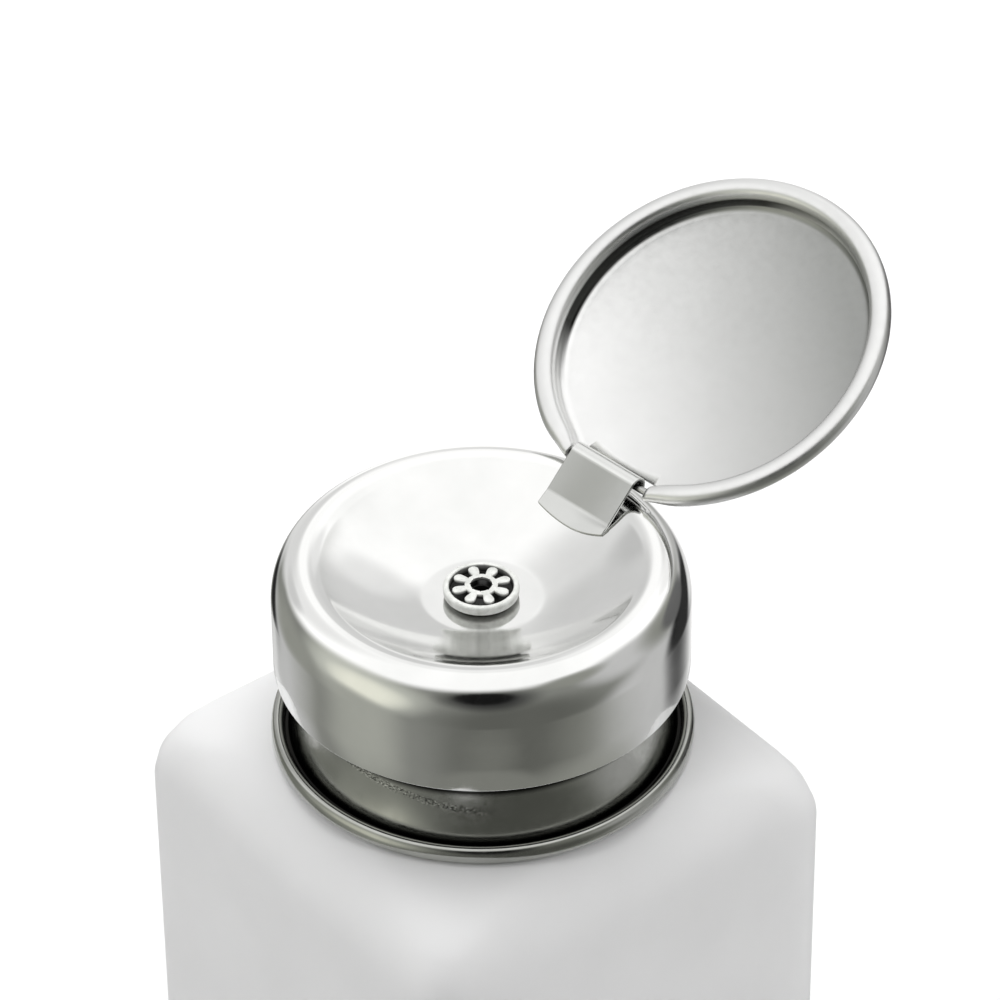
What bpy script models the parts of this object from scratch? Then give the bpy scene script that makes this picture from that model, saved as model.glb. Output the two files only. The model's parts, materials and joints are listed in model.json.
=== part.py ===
"""Pump dispenser bottle: a square plastic bottle with a steel push-down pump head and a hinged round lid.

The origin is the middle of the flat base, +Z is up, and the front of the bottle looks along -Y. The lid's
hinge is at the back. The lid stands open, the head is up, and the closure is screwed tight.
"""

from math import acos, asin, atan2, cos, hypot, pi, radians, sin, sqrt

import bmesh
import bpy

MM = 0.001

# Steps round a piece, and how near two points are the same point
LARGE_STEPS = 32
MIDDLE_STEPS = 24
SMALL_STEPS = 16
WELD_DISTANCE = 0.001 * MM
CUT_OVERRUN = 2 * MM

# The gap left between two pieces that touch
SEAT_GAP = 0.3 * MM

# Bottle body
BODY_WIDTH = 59 * MM
BODY_CORNER = 5 * MM
BODY_TOP = 88.3 * MM
BODY_WALL = 1.3 * MM
BASE_EDGE = 3 * MM
BASE_FLOOR = 1.7 * MM
BASE_GROOVE_INSET = 8.9 * MM
BASE_GROOVE_WIDTH = 3.6 * MM
BASE_GROOVE_DEPTH = 0.6 * MM
SHOULDER_RISE = 11 * MM
SHOULDER_RING_WIDTH = 4 * MM
SHOULDER_ROUND_SHARE = 0.6
SHOULDER_RINGS = 8
CORNER_POINTS = 6

# Bottle neck and its thread
NECK_RADIUS = 15 * MM
NECK_WALL = 1.7 * MM
NECK_HEIGHT = 5.9 * MM
NECK_CHAMFER = 0.3 * MM
THREAD_PITCH = 3.2 * MM
THREAD_DEPTH = 1 * MM
THREAD_FOOT = 1.5 * MM
THREAD_TIP = 0.8 * MM
THREAD_START = 1.7 * MM
THREAD_ROOT = 0.4 * MM
THREAD_CLEARANCE = 0.4 * MM
THREAD_STEPS = 24

# Gasket and pump flange, seated on the neck's rim
GASKET_THICKNESS = 0.8 * MM
GASKET_OVERHANG = 0.6 * MM
GASKET_WIDTH = 3 * MM
FLANGE_THICKNESS = 1.2 * MM
FLANGE_OVERHANG = 0.8 * MM

# Pump barrel, with the dip tube's socket at its foot
BARREL_BORE = 6.2 * MM
BARREL_WALL = 1.2 * MM
BARREL_DEPTH = 25.8 * MM
BARREL_FOOT_WALL = 1.3 * MM
BARREL_FOOT_DROP = 1.5 * MM
BARREL_CONE = 3 * MM
SOCKET_LENGTH = 7 * MM
INLET_BORE = 1.3 * MM
INLET_LENGTH = 1.5 * MM

# Check balls and their seats, which are cones of 45 degrees
INLET_BALL_RADIUS = 2.2 * MM
INLET_CHAMBER_GAP = 0.7 * MM
INLET_CHAMBER_HEIGHT = 2.7 * MM
INLET_LIFT = 1 * MM
OUTLET_BALL_RADIUS = 1.8 * MM
OUTLET_LIFT = 0.8 * MM
BALL_STOP_GAP = 0.06 * MM

# Cage over the inlet ball
CAGE_PLATE = 0.8 * MM
CAGE_BALL_GAP = 0.9 * MM
CAGE_SLOT_WIDTH = 1.2 * MM
CAGE_HUB = 0.9 * MM
CAGE_SLOTS = 4

# Dip tube
TUBE_RADIUS = 2.3 * MM
TUBE_BORE = 1.5 * MM
TUBE_END = 4.5 * MM

# Return spring and its seat
SPRING_WIRE = 0.8 * MM
SPRING_INSET = 1.9 * MM
SPRING_TURNS = 7
SPRING_TURN_POINTS = 9
SPRING_SEAT_THICKNESS = 0.9 * MM
SPRING_SEAT_GAP = 0.6 * MM
SPRING_SEAT_WIDTH = 2.3 * MM

# Piston and cylinder cap
PISTON_LENGTH = 5.6 * MM
PISTON_LIP = 1.3 * MM
PISTON_WAIST_DEPTH = 0.7 * MM
CAP_FLANGE_LAP = 1.6 * MM
CAP_FLANGE_THICKNESS = 0.8 * MM
CAP_PLUG_LENGTH = 2.8 * MM
CAP_LIP = 1.9 * MM
WIPER_THICKNESS = 1.2 * MM
WIPER_WIDTH = 0.7 * MM

# Closure
CLOSURE_DECK = 1.2 * MM
CLOSURE_BORE_GAP = 0.9 * MM
CLOSURE_WALL = 2 * MM
CLOSURE_RIM_WIDTH = 2.5 * MM
CLOSURE_RIM_HEIGHT = 2.5 * MM
CLOSURE_RIM_DEPTH = 1.7 * MM
CLOSURE_RIM_CHAMFER = 0.7 * MM
CLOSURE_FOOT = 1 * MM
RIB_COUNT = 12
RIB_DEPTH = 2.4 * MM
RIB_THICKNESS = 1.1 * MM

# Steel collar over the closure
COLLAR_SHEET = 0.4 * MM
COLLAR_TOP_ROUND = 1.4 * MM
COLLAR_STEP_ROUND = 0.4 * MM
COLLAR_BORE_GAP = 1.6 * MM
COLLAR_FLANGE = 3.4 * MM
COLLAR_FLARE = 0.8 * MM
BEAD_RISE = 0.7 * MM
BEAD_HALF_WIDTH = 0.77 * MM
BEAD_HALF_HEIGHT = 1.15 * MM
BEAD_GROOVE_DROP = 0.1 * MM

# Stem, and the head's stroke from rest down to the stem's stop
STROKE = 4.5 * MM
STEM_RADIUS = 3.6 * MM
STEM_BORE = 2.4 * MM
STEM_PASSAGE = 1.1 * MM
STEM_SHOULDER_WIDTH = 1.3 * MM
STEM_SHOULDER_THICKNESS = 0.9 * MM
STEM_FOOT_WIDTH = 1.4 * MM
STEM_FOOT_THICKNESS = 1 * MM

# Liner under the dish, which slides on the collar
LINER_RUNNING_GAP = 0.5 * MM
LINER_SKIRT = 1.4 * MM
LINER_HUB_THICKNESS = 1.4 * MM
LINER_HUB_WIDTH = 5.6 * MM
LINER_EDGE_RISE = 2.1 * MM
LINER_TOP_WIDTH = 4.4 * MM
LINER_TOP_DROP = 2.4 * MM
LINER_CHAMFER = 1 * MM
LINER_DECK = 1.9 * MM

# Steel cup with the dish
CUP_LINER_GAP = 0.45 * MM
CUP_SHEET = 0.5 * MM
CUP_SKIRT_DROP = 8.9 * MM
CREST_INSET = 3.85 * MM
SHOULDER_HEIGHT = 5.35 * MM
DISH_EDGE_INSET = 2 * MM
DISH_FLOOR_RADIUS = 6.9 * MM
DISH_CURVE = 33 * MM

# Nozzle ring and star
NOZZLE_RADIUS = 4.4 * MM
NOZZLE_HEIGHT = 1.2 * MM
NOZZLE_RIM = 0.75 * MM
NOZZLE_RECESS_DEPTH = 0.9 * MM
NOZZLE_BORE = 1.2 * MM
STAR_THICKNESS = 0.45 * MM
STAR_HOLE = 1.25 * MM
STAR_HUB = 2 * MM
STAR_PETAL_WIDTH = 1.15 * MM
STAR_PETALS = 8
STAR_TURN = radians(63.5)

# Lid: its hinge, then the pressed pan with the curled rim
HEAD_TURN = radians(7)
HINGE_OVERHANG = 0.3 * MM
LID_OPEN_ANGLE = radians(151)
LID_INSET = 2.15 * MM
LID_SHEET = 0.4 * MM
LID_CURL_RADIUS = 1.15 * MM
LID_CURL_START = radians(180)
LID_CURL_END = radians(470)
LID_PAN_DEPTH = 2.6 * MM
LID_PAN_ROUND = 1.7 * MM
LID_PIN_INSET = 1.15 * MM
LID_NOTCH_DEPTH = 1.7 * MM
WIRE_RADIUS = 0.45 * MM
WIRE_POINTS = 44

# Hinge clip
CLIP_WIDTH = 10 * MM
CLIP_SHEET = 0.5 * MM
CLIP_LEG_ANGLE = radians(-30)
CLIP_BEND_INSET = 3.2 * MM
CLIP_BEND_BOW = 0.5 * MM
CLIP_TAB_LENGTH = 1.4 * MM
CLIP_END_BOW = 0.9 * MM
CLIP_STATIONS = 7
CLIP_BARREL_POINTS = 9

# Heights that follow from the sizes above, from the bottle's shoulder up to the dish
SHOULDER_TOP = BODY_TOP + SHOULDER_RISE
NECK_RIM = SHOULDER_TOP + NECK_HEIGHT
GASKET_BOTTOM = NECK_RIM + SEAT_GAP
FLANGE_BOTTOM = GASKET_BOTTOM + GASKET_THICKNESS + SEAT_GAP
FLANGE_TOP = FLANGE_BOTTOM + FLANGE_THICKNESS
DECK_BOTTOM = FLANGE_TOP + SEAT_GAP
DECK_TOP = DECK_BOTTOM + CLOSURE_DECK
CAP_FLANGE_BOTTOM = DECK_TOP + SEAT_GAP
CAP_TOP = CAP_FLANGE_BOTTOM + CAP_FLANGE_THICKNESS
CAP_BOTTOM = DECK_BOTTOM - CAP_PLUG_LENGTH
STEM_SHOULDER_BOTTOM = CAP_TOP + SEAT_GAP + STROKE
STEM_SHOULDER_TOP = STEM_SHOULDER_BOTTOM + STEM_SHOULDER_THICKNESS
LINER_HUB_BOTTOM = STEM_SHOULDER_TOP + SEAT_GAP
STEM_TOP = LINER_HUB_BOTTOM + LINER_HUB_THICKNESS
DISH_UNDERSIDE = STEM_TOP + SEAT_GAP
DISH_FLOOR = DISH_UNDERSIDE + CUP_SHEET
CUP_EDGE = DISH_FLOOR - CUP_SKIRT_DROP
LINER_EDGE = CUP_EDGE + LINER_EDGE_RISE
NOZZLE_BOTTOM = DISH_FLOOR + SEAT_GAP
NOZZLE_TOP = NOZZLE_BOTTOM + NOZZLE_HEIGHT
NOZZLE_RECESS_FLOOR = NOZZLE_TOP - NOZZLE_RECESS_DEPTH
RIM_TOP = DECK_TOP + CLOSURE_RIM_HEIGHT
COLLAR_STEP = DECK_TOP + SEAT_GAP + COLLAR_SHEET
COLLAR_TOP = RIM_TOP + SEAT_GAP + COLLAR_SHEET
SKIRT_BOTTOM = SHOULDER_TOP + CLOSURE_FOOT
BEAD_HEIGHT = SHOULDER_TOP + BEAD_RISE

# Heights inside the barrel, from its floor up to the cylinder cap
BARREL_FLOOR = FLANGE_TOP - BARREL_DEPTH
INLET_CHAMBER = INLET_BALL_RADIUS + INLET_CHAMBER_GAP
CHAMBER_FLOOR = BARREL_FLOOR - INLET_CHAMBER_HEIGHT
INLET_SEAT = CHAMBER_FLOOR - (INLET_CHAMBER - INLET_BORE)
SOCKET_TOP = INLET_SEAT - INLET_LENGTH
SOCKET_END = SOCKET_TOP - SOCKET_LENGTH
INLET_BALL_HEIGHT = INLET_SEAT - INLET_BORE + sqrt(2) * (INLET_BALL_RADIUS + SEAT_GAP)
CAGE_BOTTOM = BARREL_FLOOR + SEAT_GAP
CAGE_PLATE_BOTTOM = INLET_BALL_HEIGHT + INLET_BALL_RADIUS + INLET_LIFT + BALL_STOP_GAP
CAGE_TOP = CAGE_PLATE_BOTTOM + CAGE_PLATE
PISTON_TOP = CAP_BOTTOM - SEAT_GAP
PISTON_BOTTOM = PISTON_TOP - PISTON_LENGTH
STEM_FOOT_TOP = PISTON_BOTTOM - SEAT_GAP
STEM_BOTTOM = STEM_FOOT_TOP - STEM_FOOT_THICKNESS
SPRING_SEAT_TOP = STEM_BOTTOM - SEAT_GAP
SPRING_SEAT_BOTTOM = SPRING_SEAT_TOP - SPRING_SEAT_THICKNESS
OUTLET_SEAT = DECK_BOTTOM
OUTLET_BALL_HEIGHT = OUTLET_SEAT - STEM_PASSAGE + sqrt(2) * (OUTLET_BALL_RADIUS + SEAT_GAP)
NOZZLE_END = OUTLET_BALL_HEIGHT + OUTLET_BALL_RADIUS + OUTLET_LIFT + BALL_STOP_GAP

# Radii of the pump, from its middle outwards
STEM_HOLE = STEM_RADIUS + SEAT_GAP
NOZZLE_NECK_RADIUS = STEM_BORE - SEAT_GAP
SOCKET_BORE = TUBE_RADIUS + SEAT_GAP
SOCKET_RADIUS = SOCKET_BORE + BARREL_FOOT_WALL
CAGE_BORE = INLET_BALL_RADIUS + CAGE_BALL_GAP
CAGE_SLOT_END = CAGE_BORE - SEAT_GAP
PLUG_RADIUS = BARREL_BORE - SEAT_GAP
SPRING_RADIUS = BARREL_BORE - SPRING_INSET
CLOSURE_BORE = PLUG_RADIUS + CLOSURE_BORE_GAP
CAP_FLANGE_RADIUS = CLOSURE_BORE + CAP_FLANGE_LAP
COLLAR_BORE = CAP_FLANGE_RADIUS + COLLAR_BORE_GAP

# Radii of the shells, from the neck outwards
SHOULDER_RING_RADIUS = NECK_RADIUS + SHOULDER_RING_WIDTH
GASKET_RADIUS = NECK_RADIUS + GASKET_OVERHANG
FLANGE_RADIUS = NECK_RADIUS + FLANGE_OVERHANG
CLOSURE_INNER_RADIUS = NECK_RADIUS + THREAD_DEPTH + THREAD_CLEARANCE
SKIRT_RADIUS = CLOSURE_INNER_RADIUS + CLOSURE_WALL
CLOSURE_RADIUS = SKIRT_RADIUS + RIB_DEPTH
RIM_INNER_RADIUS = CLOSURE_RADIUS - CLOSURE_RIM_WIDTH
COLLAR_RADIUS = CLOSURE_RADIUS + SEAT_GAP + COLLAR_SHEET
COLLAR_STEP_RADIUS = RIM_INNER_RADIUS - SEAT_GAP - COLLAR_SHEET
BEAD_OUTER_RADIUS = COLLAR_RADIUS + COLLAR_FLANGE
LINER_RADIUS = COLLAR_RADIUS + LINER_RUNNING_GAP + LINER_SKIRT
CUP_RADIUS = LINER_RADIUS + CUP_LINER_GAP + CUP_SHEET
CREST_RADIUS = CUP_RADIUS - CREST_INSET
DISH_EDGE_RADIUS = CREST_RADIUS - DISH_EDGE_INSET
LID_RADIUS = CUP_RADIUS - LID_INSET
LID_CURL_CENTRE = LID_RADIUS - LID_CURL_RADIUS
LID_PIN_OFFSET = LID_CURL_CENTRE - LID_PIN_INSET
LID_NOTCH_OFFSET = LID_PIN_OFFSET - LID_NOTCH_DEPTH
HINGE_RADIUS = CREST_RADIUS + HINGE_OVERHANG
CLIP_MIDDLE_RADIUS = WIRE_RADIUS + SEAT_GAP + CLIP_SHEET / 2


def clear_scene():
    for item in list(bpy.data.objects):
        bpy.data.objects.remove(item, do_unlink=True)


def finish(name, colour, roughness, metallic):
    """A material with one colour, roughness and metallic value."""
    material = bpy.data.materials.new(name)
    material.use_nodes = True
    shader = material.node_tree.nodes["Principled BSDF"]
    shader.inputs["Base Color"].default_value = (*colour, 1)
    shader.inputs["Roughness"].default_value = roughness
    shader.inputs["Metallic"].default_value = metallic
    material.diffuse_color = (*colour, 1)
    return material


def axis_empty(name, parent=None, place=(0, 0, 0), turn=(0, 0, 0)):
    """An empty on a joint's axis, which carries the pieces that move with it."""
    empty = bpy.data.objects.new(name, None)
    empty.empty_display_size = BODY_CORNER
    bpy.context.scene.collection.objects.link(empty)
    empty.parent = parent
    empty.location = place
    empty.rotation_euler = turn
    return empty


def add_object(name, shape, material, parent=None, place=(0, 0, 0)):
    """A named object from a finished bmesh, shaded smooth except at its sharp edges."""
    bmesh.ops.remove_doubles(shape, verts=shape.verts[:], dist=WELD_DISTANCE)
    bmesh.ops.recalc_face_normals(shape, faces=shape.faces[:])
    mesh = bpy.data.meshes.new(name)
    shape.to_mesh(mesh)
    shape.free()
    mesh.shade_smooth()
    mesh.set_sharp_from_angle(angle=radians(35))
    if material:
        mesh.materials.append(material)
    item = bpy.data.objects.new(name, mesh)
    bpy.context.scene.collection.objects.link(item)
    item.parent = parent
    item.location = place
    return item


def helper_of(item):
    """Marks a cutter, or a shape that is joined to another, as no piece of its own."""
    item.hide_render = True
    item.display_type = "WIRE"
    item.hide_set(True)
    return item


def combine(item, helper, operation):
    modifier = item.modifiers.new(helper.name, "BOOLEAN")
    modifier.operation = operation
    modifier.object = helper_of(helper)
    modifier.solver = "EXACT"


def arc(centre, radius_r, radius_z, start, end, steps):
    """Points of a round or oval arc in the (radius, height) plane, its two ends included."""
    angles = [start + (end - start) * step / steps for step in range(steps + 1)]
    return [(centre[0] + radius_r * cos(angle), centre[1] + radius_z * sin(angle)) for angle in angles]


def offset_path(path, distance):
    """The path moved sideways to its right by a distance, with mitred corners."""
    moved = []
    for index, point in enumerate(path):
        before = path[max(index - 1, 0)]
        after = path[min(index + 1, len(path) - 1)]
        normals = []
        for first, second in ((before, point), (point, after)):
            length = hypot(second[0] - first[0], second[1] - first[1])
            if length > 0:
                normals.append(((second[1] - first[1]) / length, (first[0] - second[0]) / length))
        across = sum(normal[0] for normal in normals) / len(normals)
        up = sum(normal[1] for normal in normals) / len(normals)
        mitre = across * across + up * up
        moved.append((point[0] + distance * across / mitre, point[1] + distance * up / mitre))
    return moved


def sheet_outline(path, thickness):
    """The closed outline of a sheet whose outer face follows the path and whose wall lies to its right."""
    return path + offset_path(path, thickness)[::-1]


def turned(name, outline, material, parent=None, steps=SMALL_STEPS, open_ended=False, place=(0, 0, 0)):
    """A solid of revolution about Z from an outline of (radius, height) points.

    An open-ended outline starts and ends on the axis itself.
    """
    shape = bmesh.new()
    corners = [shape.verts.new((radius, 0, height)) for radius, height in outline]
    edges = [shape.edges.new(pair) for pair in zip(corners, corners[1:])]
    if not open_ended:
        edges.append(shape.edges.new((corners[-1], corners[0])))
    bmesh.ops.spin(
        shape,
        geom=corners + edges,
        cent=(0, 0, 0),
        axis=(0, 0, 1),
        angle=2 * pi,
        steps=steps,
        use_merge=True,
    )
    return add_object(name, shape, material, parent, place)


def lofted(name, rings, material, parent=None, place=(0, 0, 0)):
    """A solid through rings of equal point count, with its first and last ring closed by flat faces."""
    shape = bmesh.new()
    loops = [[shape.verts.new(point) for point in ring] for ring in rings]
    for lower, upper in zip(loops, loops[1:]):
        for index in range(len(lower)):
            shape.faces.new((lower[index - 1], lower[index], upper[index], upper[index - 1]))
    shape.faces.new(loops[0])
    shape.faces.new(loops[-1])
    return add_object(name, shape, material, parent, place)


def plate(name, loops, bottom, top, material, parent=None):
    """A flat plate between two heights from an outer loop of (x, y) points and any inner loops."""
    shape = bmesh.new()
    for loop in loops:
        corners = [shape.verts.new((x, y, bottom)) for x, y in loop]
        for index in range(len(corners)):
            shape.edges.new((corners[index - 1], corners[index]))
    filled = bmesh.ops.triangle_fill(shape, use_beauty=True, edges=shape.edges[:])
    faces = [item for item in filled["geom"] if isinstance(item, bmesh.types.BMFace)]
    raised = bmesh.ops.extrude_face_region(shape, geom=faces)
    lifted = [item for item in raised["geom"] if isinstance(item, bmesh.types.BMVert)]
    bmesh.ops.translate(shape, verts=lifted, vec=(0, 0, top - bottom))
    return add_object(name, shape, material, parent)


def box(name, low, high, parent=None):
    """A plain block between two corners, for cutting with or for joining on."""
    shape = bmesh.new()
    made = bmesh.ops.create_cube(shape, size=1)
    size = [b - a for a, b in zip(low, high)]
    middle = [(a + b) / 2 for a, b in zip(low, high)]
    bmesh.ops.scale(shape, vec=size, verts=made["verts"])
    bmesh.ops.translate(shape, vec=middle, verts=made["verts"])
    return add_object(name, shape, None, parent)


def turned_boxes(name, low, high, count, parent=None):
    """Copies of one block, turned evenly about Z, in one helper object."""
    shape = bmesh.new()
    size = [b - a for a, b in zip(low, high)]
    middle = [(a + b) / 2 for a, b in zip(low, high)]
    for index in range(count):
        made = bmesh.ops.create_cube(shape, size=1)
        bmesh.ops.scale(shape, vec=size, verts=made["verts"])
        bmesh.ops.translate(shape, vec=middle, verts=made["verts"])
        turn = 2 * pi * index / count
        for corner in made["verts"]:
            x, y, z = corner.co
            corner.co = (x * cos(turn) - y * sin(turn), x * sin(turn) + y * cos(turn), z)
    return add_object(name, shape, None, parent)


def ball(name, radius, height, material, parent):
    """A check ball with its origin at its own middle, which is on the axis that it lifts along."""
    shape = bmesh.new()
    bmesh.ops.create_uvsphere(shape, u_segments=SMALL_STEPS, v_segments=SMALL_STEPS // 2, radius=radius)
    return add_object(name, shape, material, parent, (0, 0, height))


def wire(name, points, radius, closed, material, parent=None, sides_resolution=1):
    """A round wire along the points, as one unbroken tube with closed ends."""
    curve = bpy.data.curves.new(name, "CURVE")
    curve.dimensions = "3D"
    curve.bevel_depth = radius
    curve.bevel_resolution = sides_resolution
    curve.use_fill_caps = True
    spline = curve.splines.new("POLY")
    spline.points.add(len(points) - 1)
    for target, point in zip(spline.points, points):
        target.co = (*point, 1)
    spline.use_cyclic_u = closed
    spline.use_smooth = True
    curve.materials.append(material)
    item = bpy.data.objects.new(name, curve)
    bpy.context.scene.collection.objects.link(item)
    item.parent = parent
    return item


def thread_ridge(name, wall_radius, tip_radius, foot, tip, root_radius, start_turn, end_turn, height, parent):
    """A thread ridge of one trapezoid section wound along the shared thread's helix."""
    rings = []
    steps = round(THREAD_STEPS * (end_turn - start_turn))
    for step in range(steps + 1):
        turn = start_turn + (end_turn - start_turn) * step / steps
        angle = 2 * pi * turn
        middle = height + THREAD_PITCH * turn
        section = (
            (root_radius, -foot / 2),
            (wall_radius, -foot / 2),
            (tip_radius, -tip / 2),
            (tip_radius, tip / 2),
            (wall_radius, foot / 2),
            (root_radius, foot / 2),
        )
        rings.append([(radius * cos(angle), radius * sin(angle), middle + rise) for radius, rise in section])
    return lofted(name, rings, None, parent)


def square_ring(half, corner, height):
    """A level ring with four straight sides and round corners, or a circle where half equals corner."""
    points = []
    for quarter in range(4):
        for step in range(CORNER_POINTS + 1):
            angle = pi / 2 * (quarter + step / CORNER_POINTS)
            middle = pi / 2 * (quarter + 0.5)
            reach = (half - corner) * sqrt(2)
            across = reach * cos(middle) + corner * cos(angle)
            along = reach * sin(middle) + corner * sin(angle)
            points.append((across, along, height))
    return points


def round_neck_ring(radius, height):
    """A circle with the same point count as the square rings, evenly spaced."""
    count = 4 * (CORNER_POINTS + 1)
    start = pi / count
    angles = [start + 2 * pi * index / count for index in range(count)]
    return [(radius * cos(angle), radius * sin(angle), height) for angle in angles]


def blend_rings(first, second, share):
    """A ring between two rings of the same height, at a share of the way to the second."""
    return [
        tuple(a + (b - a) * share for a, b in zip(from_point, to_point))
        for from_point, to_point in zip(first, second)
    ]


def shoulder_ring(share, inset):
    """One ring of the domed shoulder, from the neck (share 0) down to the square body (share 1)."""
    slope = share * pi / 2
    half_body = BODY_WIDTH / 2 - inset
    ring_radius = SHOULDER_RING_RADIUS - inset
    half = ring_radius + (half_body - ring_radius) * sin(slope)
    height = SHOULDER_TOP - inset - (SHOULDER_RISE - inset) * (1 - cos(slope))
    roundness = 0.5 * (1 + cos(pi * min(1, share / SHOULDER_ROUND_SHARE)))
    body_corner = BODY_CORNER - inset
    corner = min(body_corner + (ring_radius - body_corner) * roundness, half)
    square = square_ring(half, corner, height)
    circle = round_neck_ring(half, height)
    return blend_rings(square, circle, max(0, 1 - share / SHOULDER_ROUND_SHARE))


def base_corner(half):
    """The corner radius of a ring of the base, which stays a constant step inside the body's corner."""
    return max(BODY_CORNER - (BODY_WIDTH / 2 - half), BODY_CORNER / 2)


def make_bottle(material, parent):
    half_body = BODY_WIDTH / 2
    groove_outer = half_body - BASE_GROOVE_INSET
    groove_inner = groove_outer - BASE_GROOVE_WIDTH
    rings = [
        square_ring(groove_inner, base_corner(groove_inner), 0),
        square_ring(groove_inner + BASE_GROOVE_DEPTH, base_corner(groove_inner), BASE_GROOVE_DEPTH),
        square_ring(groove_outer - BASE_GROOVE_DEPTH, base_corner(groove_outer), BASE_GROOVE_DEPTH),
        square_ring(groove_outer, base_corner(groove_outer), 0),
    ]
    for step in range(4):
        turn = pi / 2 * step / 4
        half = half_body - BASE_EDGE * (1 - sin(turn))
        rings.append(square_ring(half, base_corner(half), BASE_EDGE * (1 - cos(turn))))
    rings.append(square_ring(half_body, BODY_CORNER, BASE_EDGE))
    for step in range(SHOULDER_RINGS, -1, -1):
        rings.append(shoulder_ring(step / SHOULDER_RINGS, 0))
    bore = NECK_RADIUS - NECK_WALL
    rings += [
        round_neck_ring(NECK_RADIUS + NECK_CHAMFER, SHOULDER_TOP),
        round_neck_ring(NECK_RADIUS, SHOULDER_TOP + NECK_CHAMFER),
        round_neck_ring(NECK_RADIUS, NECK_RIM - NECK_CHAMFER),
        round_neck_ring(NECK_RADIUS - NECK_CHAMFER, NECK_RIM),
        round_neck_ring(bore, NECK_RIM),
        round_neck_ring(bore, SHOULDER_TOP - BODY_WALL),
    ]
    inner_steps = SHOULDER_RINGS // 2
    for step in range(inner_steps + 1):
        rings.append(shoulder_ring(step / inner_steps, BODY_WALL))
    inner_half = half_body - BODY_WALL
    inner_edge = BASE_EDGE - BODY_WALL
    rings.append(square_ring(inner_half, BODY_CORNER - BODY_WALL, BASE_FLOOR + inner_edge))
    rings.append(square_ring(inner_half - inner_edge, BODY_CORNER / 2, BASE_FLOOR))
    bottle = lofted("bottle", rings, material, parent)
    ridge = thread_ridge(
        "neck_thread",
        NECK_RADIUS,
        NECK_RADIUS + THREAD_DEPTH,
        THREAD_FOOT,
        THREAD_TIP,
        NECK_RADIUS - THREAD_ROOT,
        0,
        1,
        SHOULDER_TOP + THREAD_START,
        parent,
    )
    combine(bottle, ridge, "UNION")


def make_gasket(material, parent):
    top = GASKET_BOTTOM + GASKET_THICKNESS
    outline = [
        (GASKET_RADIUS - GASKET_WIDTH, GASKET_BOTTOM),
        (GASKET_RADIUS, GASKET_BOTTOM),
        (GASKET_RADIUS, top),
        (GASKET_RADIUS - GASKET_WIDTH, top),
    ]
    turned("neck_gasket", outline, material, parent, LARGE_STEPS)


def make_pump_cylinder(material, parent):
    barrel_radius = BARREL_BORE + BARREL_WALL
    foot = BARREL_FLOOR - BARREL_FOOT_DROP
    outline = [
        (BARREL_BORE, FLANGE_TOP),
        (BARREL_BORE, BARREL_FLOOR),
        (INLET_CHAMBER, BARREL_FLOOR),
        (INLET_CHAMBER, CHAMBER_FLOOR),
        (INLET_BORE, INLET_SEAT),
        (INLET_BORE, SOCKET_TOP),
        (SOCKET_BORE, SOCKET_TOP),
        (SOCKET_BORE, SOCKET_END),
        (SOCKET_RADIUS, SOCKET_END),
        (SOCKET_RADIUS, foot - BARREL_CONE),
        (barrel_radius, foot),
        (barrel_radius, FLANGE_BOTTOM),
        (FLANGE_RADIUS, FLANGE_BOTTOM),
        (FLANGE_RADIUS, FLANGE_TOP),
    ]
    turned("pump_cylinder", outline, material, parent, MIDDLE_STEPS)


def make_cylinder_cap(material, parent):
    wiper_room = STEM_HOLE + WIPER_WIDTH + SEAT_GAP
    outline = [
        (STEM_HOLE, CAP_TOP),
        (STEM_HOLE, CAP_TOP - CAP_LIP),
        (wiper_room, CAP_TOP - CAP_LIP),
        (wiper_room, CAP_BOTTOM),
        (PLUG_RADIUS, CAP_BOTTOM),
        (PLUG_RADIUS, CAP_FLANGE_BOTTOM),
        (CAP_FLANGE_RADIUS, CAP_FLANGE_BOTTOM),
        (CAP_FLANGE_RADIUS, CAP_TOP),
    ]
    turned("cylinder_cap", outline, material, parent, MIDDLE_STEPS)


def make_stem_wiper(material, parent):
    top = CAP_TOP - CAP_LIP - SEAT_GAP
    bottom = top - WIPER_THICKNESS
    outline = [
        (STEM_HOLE, bottom),
        (STEM_HOLE + WIPER_WIDTH, bottom),
        (STEM_HOLE + WIPER_WIDTH, top),
        (STEM_HOLE, top),
    ]
    turned("stem_wiper", outline, material, parent)


def make_ball_cage(material, parent):
    outline = [
        (CAGE_BORE, CAGE_BOTTOM),
        (PLUG_RADIUS, CAGE_BOTTOM),
        (PLUG_RADIUS, CAGE_TOP),
        (0, CAGE_TOP),
        (0, CAGE_PLATE_BOTTOM),
        (CAGE_BORE, CAGE_PLATE_BOTTOM),
    ]
    open_outline = outline[4:] + outline[:4]
    cage = turned("ball_cage", open_outline, material, parent, open_ended=True)
    slots = turned_boxes(
        "cage_slots",
        (CAGE_HUB, -CAGE_SLOT_WIDTH / 2, CAGE_PLATE_BOTTOM - CUT_OVERRUN),
        (CAGE_SLOT_END, CAGE_SLOT_WIDTH / 2, CAGE_TOP + CUT_OVERRUN),
        CAGE_SLOTS,
        parent,
    )
    combine(cage, slots, "DIFFERENCE")


def make_dip_tube(material, parent):
    top = SOCKET_TOP - SEAT_GAP
    outline = [(TUBE_BORE, TUBE_END), (TUBE_RADIUS, TUBE_END), (TUBE_RADIUS, top), (TUBE_BORE, top)]
    turned("dip_tube", outline, material, parent)


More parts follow.
